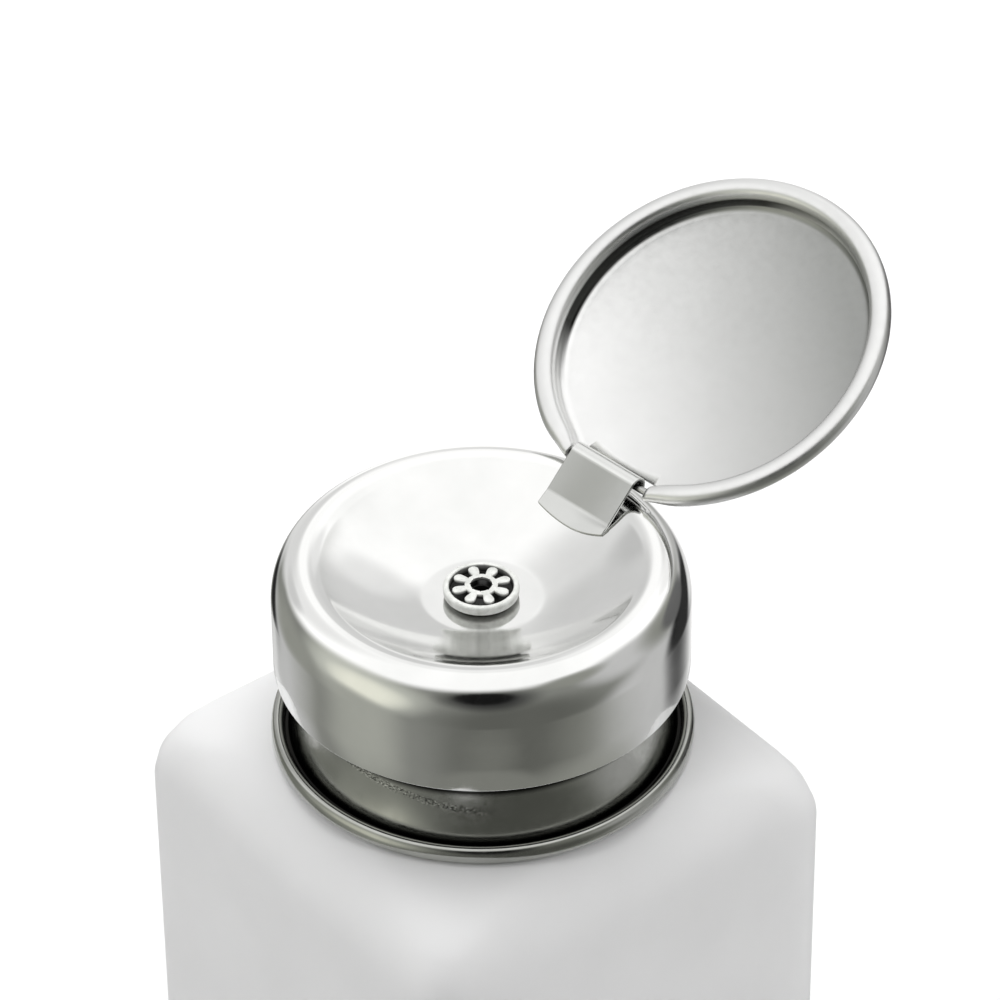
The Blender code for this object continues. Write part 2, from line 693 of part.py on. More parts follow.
def make_return_spring(material, parent):
    """A compression spring as one helix, its end turns wound closer than the rest."""
    bottom = CAGE_TOP + SEAT_GAP + SPRING_WIRE / 2
    top = SPRING_SEAT_BOTTOM - SEAT_GAP - SPRING_WIRE / 2
    count = SPRING_TURNS * SPRING_TURN_POINTS
    closing = 2 * SPRING_WIRE / (top - bottom)
    points = []
    for index in range(count + 1):
        share = index / count
        turns = SPRING_TURNS * share
        end_turns = min(turns, 1) + max(turns - (SPRING_TURNS - 1), 0)
        middle_turns = turns - end_turns
        rise = closing * end_turns + (1 - 2 * closing) * middle_turns / (SPRING_TURNS - 2)
        angle = 2 * pi * turns
        height = bottom + (top - bottom) * rise
        points.append((SPRING_RADIUS * cos(angle), SPRING_RADIUS * sin(angle), height))
    print("return spring, least gap to itself:", round(least_gap(points) / MM, 2), "mm")
    wire("return_spring", points, SPRING_WIRE / 2, False, material, parent)


def least_gap(points):
    """The least gap between the spring's turns, measured on its points."""
    gaps = []
    for index, first in enumerate(points):
        for second in points[index + SPRING_TURN_POINTS // 2 :]:
            span = sqrt(sum((a - b) ** 2 for a, b in zip(first, second)))
            gaps.append(span - SPRING_WIRE)
    return min(gaps)


def make_spring_seat(material, parent):
    radius = BARREL_BORE - SPRING_SEAT_GAP
    bore = radius - SPRING_SEAT_WIDTH
    outline = [
        (bore, SPRING_SEAT_BOTTOM),
        (radius, SPRING_SEAT_BOTTOM),
        (radius, SPRING_SEAT_TOP),
        (bore, SPRING_SEAT_TOP),
    ]
    turned("spring_seat", outline, material, parent)


def make_piston_seal(material, parent):
    waist = PLUG_RADIUS - PISTON_WAIST_DEPTH
    outline = [
        (STEM_HOLE, PISTON_BOTTOM),
        (PLUG_RADIUS, PISTON_BOTTOM),
        (waist, PISTON_BOTTOM + PISTON_LIP),
        (waist, PISTON_TOP - PISTON_LIP),
        (PLUG_RADIUS, PISTON_TOP),
        (STEM_HOLE, PISTON_TOP),
    ]
    turned("piston_seal", outline, material, parent)


def make_closure(material, parent):
    outline = [
        (CLOSURE_BORE, DECK_BOTTOM),
        (CLOSURE_BORE, DECK_TOP),
        (RIM_INNER_RADIUS, DECK_TOP),
        (RIM_INNER_RADIUS, RIM_TOP),
        (CLOSURE_RADIUS - CLOSURE_RIM_CHAMFER, RIM_TOP),
        (CLOSURE_RADIUS, RIM_TOP - CLOSURE_RIM_CHAMFER),
        (CLOSURE_RADIUS, DECK_TOP - CLOSURE_RIM_DEPTH),
        (SKIRT_RADIUS, DECK_TOP - CLOSURE_RIM_DEPTH - (CLOSURE_RADIUS - SKIRT_RADIUS) / 2),
        (SKIRT_RADIUS, SKIRT_BOTTOM),
        (CLOSURE_INNER_RADIUS, SKIRT_BOTTOM),
        (CLOSURE_INNER_RADIUS, DECK_BOTTOM),
    ]
    closure = turned("closure", outline, material, parent, LARGE_STEPS)
    ribs = turned_boxes(
        "closure_ribs",
        (SKIRT_RADIUS - CLOSURE_WALL / 2, -RIB_THICKNESS / 2, SKIRT_BOTTOM + CLOSURE_FOOT),
        (CLOSURE_RADIUS - SEAT_GAP, RIB_THICKNESS / 2, DECK_BOTTOM),
        RIB_COUNT,
        parent,
    )
    combine(closure, ribs, "UNION")
    ridge = thread_ridge(
        "closure_thread",
        CLOSURE_INNER_RADIUS,
        NECK_RADIUS + SEAT_GAP,
        THREAD_FOOT - THREAD_CLEARANCE / 2,
        THREAD_TIP,
        CLOSURE_INNER_RADIUS + THREAD_ROOT,
        0.5,
        1.5,
        SHOULDER_TOP + THREAD_START - THREAD_PITCH / 2,
        parent,
    )
    combine(closure, ridge, "UNION")


def make_collar_shell(material, parent):
    bead_middle = BEAD_OUTER_RADIUS - BEAD_HALF_WIDTH
    bead_inner = bead_middle - BEAD_HALF_WIDTH
    groove = BEAD_HEIGHT - BEAD_GROOVE_DROP
    top_centre = (COLLAR_RADIUS - COLLAR_TOP_ROUND, COLLAR_TOP - COLLAR_TOP_ROUND)
    flare_centre = (COLLAR_RADIUS + COLLAR_FLARE, groove + COLLAR_FLARE)
    path = [
        (COLLAR_BORE, COLLAR_STEP),
        (COLLAR_STEP_RADIUS - COLLAR_STEP_ROUND, COLLAR_STEP),
        (COLLAR_STEP_RADIUS, COLLAR_STEP + COLLAR_STEP_ROUND),
        (COLLAR_STEP_RADIUS, COLLAR_TOP - COLLAR_STEP_ROUND),
        (COLLAR_STEP_RADIUS + COLLAR_STEP_ROUND, COLLAR_TOP),
    ]
    path += arc(top_centre, COLLAR_TOP_ROUND, COLLAR_TOP_ROUND, pi / 2, 0, 3)
    path += arc(flare_centre, COLLAR_FLARE, COLLAR_FLARE, pi, 3 * pi / 2, 2)
    path.append((bead_inner - COLLAR_SHEET / 4, groove))
    underside = offset_path(path, COLLAR_SHEET)[::-1]
    bead = arc((bead_middle, BEAD_HEIGHT), BEAD_HALF_WIDTH, BEAD_HALF_HEIGHT, pi, -radians(150), 9)
    turned("collar_shell", path + bead + underside, material, parent, LARGE_STEPS)


def dish_height(radius):
    """The height of the dish's upper face at a radius."""
    if radius <= DISH_FLOOR_RADIUS:
        return DISH_FLOOR
    floor_rise = sqrt(DISH_CURVE**2 - DISH_FLOOR_RADIUS**2)
    return DISH_FLOOR + floor_rise - sqrt(DISH_CURVE**2 - radius**2)


def crest_arc():
    """The centre and radius of the round crest that the dish's edge runs into, and the dish's slope there."""
    slope = asin(DISH_EDGE_RADIUS / DISH_CURVE)
    radius = (CREST_RADIUS - DISH_EDGE_RADIUS) / sin(slope)
    centre_height = dish_height(DISH_EDGE_RADIUS) - radius * cos(slope)
    return (CREST_RADIUS, centre_height), radius, slope


def crest_height():
    """The height of the crest, which the closed lid's rim rests over."""
    centre, radius, _ = crest_arc()
    return centre[1] + radius


def cup_path():
    """The cup's outer face, from the middle hole up the dish, over the crest and down to the skirt's edge."""
    centre, radius, slope = crest_arc()
    dish_span = DISH_EDGE_RADIUS - DISH_FLOOR_RADIUS
    path = [(NOZZLE_NECK_RADIUS + SEAT_GAP, DISH_FLOOR)]
    for step in range(5):
        place = DISH_FLOOR_RADIUS + dish_span * step / 5
        path.append((place, dish_height(place)))
    path += arc(centre, radius, radius, pi / 2 + slope, pi / 2, 3)
    shoulder_centre = (CREST_RADIUS, crest_height() - SHOULDER_HEIGHT)
    path += arc(shoulder_centre, CREST_INSET, SHOULDER_HEIGHT, pi / 2, 0, 6)[1:]
    path.append((CUP_RADIUS, CUP_EDGE))
    return path


def make_dish_cup(material, parent):
    turned("dish_cup", sheet_outline(cup_path(), CUP_SHEET), material, parent, LARGE_STEPS)


def make_cup_liner(material, parent):
    top = crest_height() - LINER_TOP_DROP
    skirt_inner = LINER_RADIUS - LINER_SKIRT
    hub_radius = STEM_HOLE + LINER_HUB_WIDTH
    top_radius = LINER_RADIUS - LINER_TOP_WIDTH
    hub_slope = (top - STEM_TOP) / (top_radius - hub_radius)
    deck_bottom = top - LINER_DECK
    bend = hub_radius + (deck_bottom - LINER_HUB_BOTTOM) / hub_slope
    outline = [
        (STEM_HOLE, STEM_TOP),
        (hub_radius, STEM_TOP),
        (top_radius, top),
        (LINER_RADIUS - 2 * LINER_CHAMFER, top),
        (LINER_RADIUS, top - 2 * LINER_CHAMFER),
        (LINER_RADIUS, LINER_EDGE),
        (skirt_inner, LINER_EDGE),
        (skirt_inner, deck_bottom - LINER_CHAMFER),
        (skirt_inner - LINER_CHAMFER, deck_bottom),
        (bend, deck_bottom),
        (hub_radius, LINER_HUB_BOTTOM),
        (STEM_HOLE, LINER_HUB_BOTTOM),
    ]
    turned("cup_liner", outline, material, parent, LARGE_STEPS)


def make_pump_stem(material, parent):
    seat_top = OUTLET_SEAT + STEM_BORE - STEM_PASSAGE
    foot_radius = STEM_RADIUS + STEM_FOOT_WIDTH
    shoulder_radius = STEM_RADIUS + STEM_SHOULDER_WIDTH
    outline = [
        (STEM_BORE, STEM_TOP),
        (STEM_BORE, seat_top),
        (STEM_PASSAGE, OUTLET_SEAT),
        (STEM_PASSAGE, STEM_BOTTOM),
        (foot_radius, STEM_BOTTOM),
        (foot_radius, STEM_FOOT_TOP),
        (STEM_RADIUS, STEM_FOOT_TOP),
        (STEM_RADIUS, STEM_SHOULDER_BOTTOM),
        (shoulder_radius, STEM_SHOULDER_BOTTOM),
        (shoulder_radius, STEM_SHOULDER_TOP),
        (STEM_RADIUS, STEM_SHOULDER_TOP),
        (STEM_RADIUS, STEM_TOP),
    ]
    turned("pump_stem", outline, material, parent)


def make_nozzle_ring(material, parent):
    recess_radius = NOZZLE_RADIUS - NOZZLE_RIM
    outline = [
        (NOZZLE_BORE, NOZZLE_RECESS_FLOOR),
        (recess_radius, NOZZLE_RECESS_FLOOR),
        (recess_radius, NOZZLE_TOP),
        (NOZZLE_RADIUS, NOZZLE_TOP),
        (NOZZLE_RADIUS, NOZZLE_BOTTOM),
        (NOZZLE_NECK_RADIUS, NOZZLE_BOTTOM),
        (NOZZLE_NECK_RADIUS, NOZZLE_END),
        (NOZZLE_BORE, NOZZLE_END),
    ]
    turned("nozzle_ring", outline, material, parent, MIDDLE_STEPS)


def make_star_insert(material, parent):
    """A plate with rounded petals round a hub, and a hole in the hub."""
    reach = NOZZLE_RADIUS - NOZZLE_RIM - SEAT_GAP
    half_width = STAR_PETAL_WIDTH / 2
    tip_centre = reach - half_width
    outer = []
    for petal in range(STAR_PETALS):
        direction = STAR_TURN + 2 * pi * petal / STAR_PETALS
        root = sqrt(STAR_HUB**2 - half_width**2)
        side_points = [(root, -half_width)]
        side_points += arc((tip_centre, 0), half_width, half_width, -pi / 2, pi / 2, 4)
        side_points.append((root, half_width))
        for along, across in side_points:
            x = along * cos(direction) - across * sin(direction)
            y = along * sin(direction) + across * cos(direction)
            outer.append((x, y))
    hole_angles = [2 * pi * index / SMALL_STEPS for index in range(SMALL_STEPS)]
    hole = [(STAR_HOLE * cos(angle), STAR_HOLE * sin(angle)) for angle in hole_angles]
    bottom = NOZZLE_RECESS_FLOOR + SEAT_GAP
    plate("star_insert", [outer, hole], bottom, bottom + STAR_THICKNESS, material, parent)


def hinge_height():
    """The height of the hinge axis, where the closed lid's rim lies just over the crest."""
    return crest_height() + SEAT_GAP + LID_CURL_RADIUS


def clip_path(across):
    """The middle line of the clip's sheet at a place across its width: the leg, the barrel, then the plate."""
    edge_share = (2 * across / CLIP_WIDTH) ** 2
    middle_bend = DISH_EDGE_RADIUS - CLIP_BEND_INSET
    bend = middle_bend + CLIP_BEND_BOW * edge_share
    end = middle_bend - CLIP_TAB_LENGTH + CLIP_END_BOW * edge_share
    lift = SEAT_GAP + CLIP_SHEET / 2
    tab = []
    for step in range(4):
        place = bend + (end - bend) * step / 3
        tab.append((place, dish_height(hypot(across, place)) + lift))
    centre = (HINGE_RADIUS, hinge_height())
    away = (tab[0][0] - centre[0], tab[0][1] - centre[1])
    bearing = atan2(away[1], away[0]) % (2 * pi)
    tangent = bearing - acos(CLIP_MIDDLE_RADIUS / hypot(*away))
    radius = CLIP_MIDDLE_RADIUS
    barrel = arc(centre, radius, radius, CLIP_LEG_ANGLE, tangent, CLIP_BARREL_POINTS)
    return barrel + tab


def make_hinge_clip(material, parent):
    """The clip's sheet, lofted across its width so that its tab follows the round dish."""
    rings = []
    for station in range(CLIP_STATIONS):
        across = CLIP_WIDTH * (station / (CLIP_STATIONS - 1) - 0.5)
        middle = clip_path(across)
        outline = offset_path(middle, CLIP_SHEET / 2) + offset_path(middle, -CLIP_SHEET / 2)[::-1]
        rings.append([(across, along, height) for along, height in outline])
    lofted("hinge_clip", rings, material, parent)


def lid_outline():
    """The pressed lid's outline about its own middle, with the hinge pin's height as zero."""
    wall = LID_CURL_CENTRE - LID_CURL_RADIUS + LID_SHEET
    curl_centre = (LID_CURL_CENTRE, 0)
    round_centre = (wall - LID_PAN_ROUND, LID_PAN_DEPTH - LID_PAN_ROUND)
    outside = [(0, LID_PAN_DEPTH)]
    outside += arc(round_centre, LID_PAN_ROUND, LID_PAN_ROUND, pi / 2, 0, 3)
    inner_curl = LID_CURL_RADIUS - LID_SHEET
    outside += arc(curl_centre, inner_curl, inner_curl, LID_CURL_START, LID_CURL_END, 10)
    inside = [(0, LID_PAN_DEPTH - LID_SHEET)]
    inner_round = LID_PAN_ROUND - LID_SHEET
    inside += arc(round_centre, inner_round, inner_round, pi / 2, 0, 3)
    inside += arc(curl_centre, LID_CURL_RADIUS, LID_CURL_RADIUS, LID_CURL_START, LID_CURL_END, 10)
    return outside + inside[::-1]


def make_lid(material, parent):
    """The lid about its hinge axis, with the notch that clears the clip."""
    lid = turned(
        "lid",
        lid_outline(),
        material,
        parent,
        LARGE_STEPS,
        open_ended=True,
        place=(0, -LID_PIN_OFFSET, 0),
    )
    half_notch = sqrt(LID_CURL_CENTRE**2 - LID_PIN_OFFSET**2)
    notch = box(
        "lid_notch",
        (-half_notch, LID_NOTCH_OFFSET - LID_PIN_OFFSET, -LID_CURL_RADIUS - CUT_OVERRUN),
        (half_notch, LID_RADIUS - LID_PIN_OFFSET + CUT_OVERRUN, LID_PAN_DEPTH + CUT_OVERRUN),
        parent,
    )
    combine(lid, notch, "DIFFERENCE")


def make_lid_wire(material, parent):
    """The wire ring in the lid's curl, with a straight bare length on the hinge axis."""
    half_angle = acos(LID_PIN_OFFSET / LID_CURL_CENTRE)
    start = pi / 2 + half_angle
    sweep = 2 * (pi - half_angle)
    points = []
    for index in range(WIRE_POINTS + 1):
        angle = start + sweep * index / WIRE_POINTS
        across = LID_CURL_CENTRE * cos(angle)
        along = LID_CURL_CENTRE * sin(angle) - LID_PIN_OFFSET
        points.append((across, along, 0))
    wire("lid_wire", points, WIRE_RADIUS, True, material, parent)


def main():
    clear_scene()
    white_plastic = finish("white_plastic", (0.88, 0.88, 0.87), 0.45, 0)
    clear_plastic = finish("natural_plastic", (0.8, 0.82, 0.82), 0.4, 0)
    grey_plastic = finish("grey_plastic", (0.3, 0.31, 0.32), 0.5, 0)
    rubber = finish("seal_rubber", (0.05, 0.05, 0.05), 0.7, 0)
    polished_steel = finish("polished_steel", (0.72, 0.72, 0.7), 0.12, 1)
    satin_steel = finish("satin_steel", (0.6, 0.6, 0.59), 0.3, 1)
    spring_steel = finish("spring_steel", (0.55, 0.55, 0.56), 0.25, 1)

    bottle_axis = axis_empty("bottle_axis")
    pump_lift = axis_empty("pump_lift_axis", bottle_axis)
    closure_turn = axis_empty("closure_turn_axis", pump_lift)
    head_press = axis_empty("head_press_axis", pump_lift)
    head_turn = axis_empty("head_turn_axis", head_press, turn=(0, 0, HEAD_TURN))
    hinge_place = (0, HINGE_RADIUS, hinge_height())
    lid_hinge = axis_empty("lid_hinge_axis", head_turn, hinge_place, (-LID_OPEN_ANGLE, 0, 0))

    make_bottle(white_plastic, bottle_axis)
    make_gasket(rubber, pump_lift)
    make_pump_cylinder(clear_plastic, pump_lift)
    make_cylinder_cap(clear_plastic, pump_lift)
    make_stem_wiper(rubber, pump_lift)
    make_ball_cage(clear_plastic, pump_lift)
    make_dip_tube(clear_plastic, pump_lift)
    make_return_spring(spring_steel, pump_lift)
    ball("inlet_ball", INLET_BALL_RADIUS, INLET_BALL_HEIGHT, spring_steel, pump_lift)
    make_closure(grey_plastic, closure_turn)
    make_collar_shell(satin_steel, closure_turn)
    make_spring_seat(clear_plastic, head_press)
    make_piston_seal(rubber, head_press)
    make_pump_stem(clear_plastic, head_turn)
    make_cup_liner(grey_plastic, head_turn)
    make_dish_cup(polished_steel, head_turn)
    make_nozzle_ring(polished_steel, head_turn)
    make_star_insert(polished_steel, head_turn)
    make_hinge_clip(satin_steel, head_turn)
    ball("outlet_ball", OUTLET_BALL_RADIUS, OUTLET_BALL_HEIGHT, spring_steel, head_turn)
    make_lid(satin_steel, lid_hinge)
    make_lid_wire(spring_steel, lid_hinge)


main()
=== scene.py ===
"""A square pump dispenser bottle with a polished steel head and an open round lid, in a white studio."""

import json
from math import acos, asin, atan2, cos, degrees, hypot, pi, radians, sin, sqrt, tau

import bmesh
import bpy
from mathutils import Matrix, Vector


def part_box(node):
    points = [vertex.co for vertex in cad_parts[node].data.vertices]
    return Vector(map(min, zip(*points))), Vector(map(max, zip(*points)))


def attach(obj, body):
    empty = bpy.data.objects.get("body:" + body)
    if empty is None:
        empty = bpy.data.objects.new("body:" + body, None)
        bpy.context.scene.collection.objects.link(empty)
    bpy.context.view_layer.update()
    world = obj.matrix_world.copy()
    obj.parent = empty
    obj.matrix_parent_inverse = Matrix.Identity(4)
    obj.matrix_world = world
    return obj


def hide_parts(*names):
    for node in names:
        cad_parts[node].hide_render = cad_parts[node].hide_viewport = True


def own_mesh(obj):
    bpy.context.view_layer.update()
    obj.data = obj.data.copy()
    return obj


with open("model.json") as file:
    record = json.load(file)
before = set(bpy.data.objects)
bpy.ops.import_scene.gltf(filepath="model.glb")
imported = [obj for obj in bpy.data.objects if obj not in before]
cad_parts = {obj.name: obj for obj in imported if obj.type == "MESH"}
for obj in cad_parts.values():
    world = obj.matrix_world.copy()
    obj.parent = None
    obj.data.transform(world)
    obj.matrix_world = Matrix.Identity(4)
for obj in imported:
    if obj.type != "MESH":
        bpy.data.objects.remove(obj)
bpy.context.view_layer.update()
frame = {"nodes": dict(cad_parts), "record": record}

MM = 0.001

# Bottle
HALF_SIDE = 29.5 * MM
SIDE_CORNER = 5 * MM
SIDE_TOP = 88.3 * MM
SIDE_WALL = 1.3 * MM
FOOT_EDGE = 3 * MM
FOOT_FLOOR = 1.7 * MM
FLOOR_ROUND = 1.7 * MM
FOOT_GROOVE = ((17 * MM, 0), (17.6 * MM, 0.6 * MM), (20 * MM, 0.6 * MM), (20.6 * MM, 0))
SHOULDER_TOP = 99.3 * MM
SHOULDER_RING = 19 * MM
NECK_RADIUS = 15 * MM
NECK_BORE = 13.3 * MM
NECK_RIM = 105.2 * MM
NECK_FILLET = 0.6 * MM
RIM_ROUND = 0.3 * MM
SHOULDER_ROUND_SHARE = 0.6

# The neck's thread
THREAD_PITCH = 3.2 * MM
THREAD_START = 101 * MM
THREAD_HEIGHT = 1 * MM
THREAD_SINK = 0.4 * MM
THREAD_FOOT_WIDTH = 1.5 * MM
THREAD_TIP_WIDTH = 0.8 * MM
THREAD_TAPER = 12
THREAD_END_SHARE = 0.15

# Cup with the dish
HEAD_TURN = radians(7)
CUP_RADIUS = 24.35 * MM
CUP_EDGE = 109.7 * MM
CUP_SHEET = 0.5 * MM
CUP_HOLE = 2.4 * MM
CUP_SEAT = 4.2 * MM
SKIRT_LEVELS = (116 * MM, 113 * MM, CUP_EDGE)
CREST_RADIUS = 20.5 * MM
CREST_SHOULDER = 5.35 * MM
DISH_EDGE = 18.5 * MM
DISH_FLOOR = 118.6 * MM
DISH_FLOOR_RADIUS = 6.9 * MM
DISH_FLOOR_BLEND = 0.7 * MM
DISH_CURVE = 33 * MM
DISH_TENTHS = range(60, 186, 3)
PRESSED_EDGE = 0.18 * MM
TURNED_EDGE = 0.12 * MM

# Nozzle
NOZZLE_FOOT = 118.63 * MM
NOZZLE_RECESS = 119.2 * MM
NOZZLE_TOP = 120.3 * MM
NOZZLE_RIM = 4.45 * MM
NOZZLE_INSIDE = 3.75 * MM
NOZZLE_NECK = 2.1 * MM
NOZZLE_BORE = 1.2 * MM
NOZZLE_END = 112.7 * MM
NOZZLE_LIP = 0.2 * MM
NOZZLE_EDGE = 0.4 * MM
NOZZLE_UNDERCUT = ((0.05 * MM, 119.2 * MM), (0.35 * MM, 119.05 * MM), (0.6 * MM, 118.95 * MM))
NOZZLE_TAPER = 1.1 * MM

# Star in the nozzle
PETALS = 8
STAR_FLOOR = 119.85 * MM
STAR_TOP = 120.35 * MM
STAR_EDGE = 0.06 * MM
STAR_HUB = 1.93 * MM
STAR_HOLE = 1.33 * MM
STAR_TURN = radians(70.5)
PETAL_TIP = 3.5 * MM
PETAL_ROOT = 0.4 * MM
PETAL_BELLY = 0.6 * MM

# Collar
COLLAR_RADIUS = 21.5 * MM
COLLAR_SHEET = 0.4 * MM
COLLAR_BORE = 10 * MM
COLLAR_STEP = 110 * MM
COLLAR_STEP_RADIUS = 17.6 * MM
COLLAR_TOP = 112.5 * MM
COLLAR_BEND = 0.5 * MM
COLLAR_SHOULDER = 1.4 * MM
GROOVE_HEIGHT = 99.9 * MM
BEAD_RADIUS = 24.13 * MM
BEAD_HEIGHT = 100 * MM
BEAD_HALF_WIDTH = 0.77 * MM
BEAD_HALF_HEIGHT = 1.15 * MM
BEAD_GAP = 0.12 * MM
FLARE = 1.05 * MM
FLARE_START = 107 * MM
FLARE_FOOT = 100.5 * MM

# Lid and its hinge
HINGE_RADIUS = 20.8 * MM
HINGE_HEIGHT = 125.607 * MM
LID_ANGLE = radians(151)
LID_PIN_OFFSET = 19.9 * MM
LID_WALL = 19.95 * MM
LID_CURL_CENTRE = 21.05 * MM
LID_CURL = 1.28 * MM
LID_CURL_TURN = radians(275)
LID_SHEET = 0.4 * MM
LID_DEPTH = 2.6 * MM
LID_DOME = 0.7 * MM
LID_ROUND = 1.7 * MM
PINCH_END = radians(18)
PINCH_FADE = radians(13)
NOTCH_LOW = Vector((-5.7 * MM, -1.7 * MM, -4 * MM))
NOTCH_HIGH = Vector((6.6 * MM, 6 * MM, 5 * MM))
NOTCH_CORNER = 0.5 * MM
WIRE_RADIUS = 0.45 * MM

# Clip
CLIP_WIDTH = 10 * MM
CLIP_SHEET = 0.36 * MM
CLIP_BARREL = 1.25 * MM
CLIP_BEND = 2.4 * MM
CLIP_BEND_BOW = 0.3 * MM
CLIP_END = 4.6 * MM
CLIP_LIFT = 0.07 * MM
CLIP_THINNED = 6
CLIP_EDGE = 0.1 * MM
CLIP_FOLD = 0.3 * MM
CLIP_BARREL_START = radians(-30)
CLIP_FULL_CORNER = 0.35 * MM
CLIP_CUT_CORNER = 0.85 * MM
PLATE_SHARES = (0.04, 0.12, 0.4, 0.7, 0.93)

# Return spring
COIL_WIRE = 0.4 * MM
COIL_TURNS = 7

# Steps round the large and the small turned pieces, the bottle and one turn of thread or spring
LARGE_STEPS = 224
SMALL_STEPS = 96
BOTTLE_STEPS = 176
THREAD_STEPS = 96
COIL_STEPS = 36

# Steps along the curves that the pieces are drawn from
FOOT_STEPS = 8
SIDE_STEPS = 12
SHOULDER_STEPS = 48
DISC_STEPS = 12
CURL_STEPS = 44
RIM_WIRE_STEPS = 160
CLIP_STEPS = 32
TAB_STEPS = 8
PETAL_STEPS = 14

# Painted light and shade and the scuffs on the steel, each from where it begins to where it is full: radii,
# heights, degrees or shares
GROOVE_RADII = (23.8 * MM, 23.35 * MM)
GROOVE_HEIGHTS = (101.3 * MM, 100.5 * MM)
SEAM_RADII = (22.2 * MM, 21.9 * MM)
SEAM_HEIGHTS = (106.3 * MM, 107 * MM)
SCUFF_HEIGHT = 106.8 * MM
SCUFF_DROP = 2.5 * MM
SCUFF_FALL = (-48, 0)
SCUFF_EDGE = (0.65 * MM, 0.35 * MM)
SCUFF_LEFT = (-55, -46)
SCUFF_RIGHT = (8, -2)
PAINTED_HIGHLIGHT_INSIDE = (19.2 * MM, 20.2 * MM)
PAINTED_HIGHLIGHT_OUTSIDE = (23.6 * MM, 22.4 * MM)
PAINTED_HIGHLIGHT_HEIGHTS = (122 * MM, 123 * MM)
PAINTED_HIGHLIGHT_FRONT = (0.9, 0.5)
RECESS_RADII = (NOZZLE_INSIDE + 0.15 * MM, NOZZLE_INSIDE)
RECESS_HEIGHTS = (120.2 * MM, 120 * MM)
UNDERCUT_RADII = (4.42 * MM, 4.15 * MM)
UNDERCUT_HEIGHTS = (119.25 * MM, 119.1 * MM)
PETAL_HEIGHTS = (STAR_TOP - 0.15 * MM, STAR_TOP - 0.3 * MM)
LID_CORNER_INSIDE = (LID_WALL - 1.15 * MM, LID_WALL - 0.9 * MM)
LID_CORNER_OUTSIDE = (LID_WALL - 0.25 * MM, LID_WALL - 0.38 * MM)
LID_CORNER_HEIGHTS = (0.05 * MM, 0.35 * MM)
LID_CORNER_START = (136, 160)
LID_CORNER_END = (282, 250)
LID_PAINTED_REFLECTION_RADIUS = LID_WALL - 0.7 * MM
LID_PAINTED_REFLECTION_SLANT = 0.74
LID_PAINTED_REFLECTION_SPAN = (0, 40 * MM)
LID_PAINTED_REFLECTION_TRACE = 0.17
CLIP_BARREL_SKIN = 0.1 * MM
CLIP_PAINTED_REFLECTION_TURNS = (128, 141)
CLIP_PAINTED_REFLECTION_STEP = 0.15 * MM

# Level directions from the pump's axis towards the camera and to the right of its view
TOWARDS_CAMERA = Vector((0.793, -0.609, 0))
RIGHT_OF_CAMERA = Vector((0.609, 0.793, 0))

# The camera, fitted to a photograph of 1000 by 1000 pixels: AIM is where the axis shows at AIM_HEIGHT
PHOTO_SIDE = 1000
FOCAL_PIXELS = 5600
PIXELS_PER_MM = 8.5
AIM = (483.022, 718.929)
AIM_HEIGHT = 100 * MM
CAMERA_TILT = radians(37.891)
CAMERA_ROLL = radians(-0.6)
CAMERA_TURN = radians(52.5)
SENSOR_WIDTH = 36

# The floor's glow to the camera, and how far from the axis it begins and is full, in metres
FLOOR_GLOW = (0.13, 0.6)
GLOW_REACH = (0.08, 0.6)


# Shapes


def arc(centre, radius, start, end, steps, rise=None):
    """Points of an arc in the (radius, height) plane, both ends included; a rise of its own makes it oval."""
    rise = radius if rise is None else rise
    angles = [start + (end - start) * step / steps for step in range(steps + 1)]
    return [(centre[0] + radius * cos(angle), centre[1] + rise * sin(angle)) for angle in angles]


def beside(path, distance):
    """The path moved to its right by a distance, with mitred corners."""
    moved = []
    for index, point in enumerate(path):
        before = path[max(index - 1, 0)]
        after = path[min(index + 1, len(path) - 1)]
        normals = []
        for first, second in ((before, point), (point, after)):
            length = hypot(second[0] - first[0], second[1] - first[1])
            if length > 0:
                normals.append(((second[1] - first[1]) / length, (first[0] - second[0]) / length))
        across = sum(normal[0] for normal in normals) / len(normals)
        up = sum(normal[1] for normal in normals) / len(normals)
        mitre = across * across + up * up
        moved.append((point[0] + distance * across / mitre, point[1] + distance * up / mitre))
    return moved


def softened(outline, radius, steps=3, closed=True):
    """The outline with its sharp corners turned into small rounds, as a pressed or moulded edge has."""
    soft = []
    count = len(outline)
    for index, point in enumerate(outline):
        here = Vector(point)
        before = Vector(outline[index - 1]) - here
        after = Vector(outline[(index + 1) % count]) - here
        end = not closed and index in (0, count - 1)
        if end or min(before.length, after.length) == 0 or before.angle(after) > radians(150):
            soft.append(point)
            continue
        reach = min(radius, before.length * 0.45, after.length * 0.45)
        start = here + before.normalized() * reach
        stop = here + after.normalized() * reach
        for step in range(steps + 1):
            share = step / steps
            bend = start * (1 - share) ** 2 + here * 2 * share * (1 - share) + stop * share**2
            soft.append((bend.x, bend.y))
    return soft


def set_out(name, data):
    """A new object in the scene for a mesh, a lamp or a camera."""
    item = bpy.data.objects.new(name, data)
    bpy.context.scene.collection.objects.link(item)
    return item


def mesh_from(name, shape):
    """A mesh from a finished bmesh, which is then let go."""
    mesh = bpy.data.meshes.new(name)
    shape.to_mesh(mesh)
    shape.free()
    return mesh


def piece_from(name, shape, crease=50):
    """An object at the origin from a finished bmesh, shaded smooth except at its sharp edges."""
    bmesh.ops.remove_doubles(shape, verts=shape.verts[:], dist=0.0005 * MM)
    bmesh.ops.recalc_face_normals(shape, faces=shape.faces[:])
    mesh = mesh_from(name, shape)
    mesh.shade_smooth()
    mesh.set_sharp_from_angle(angle=radians(crease))
    return set_out(name, mesh)


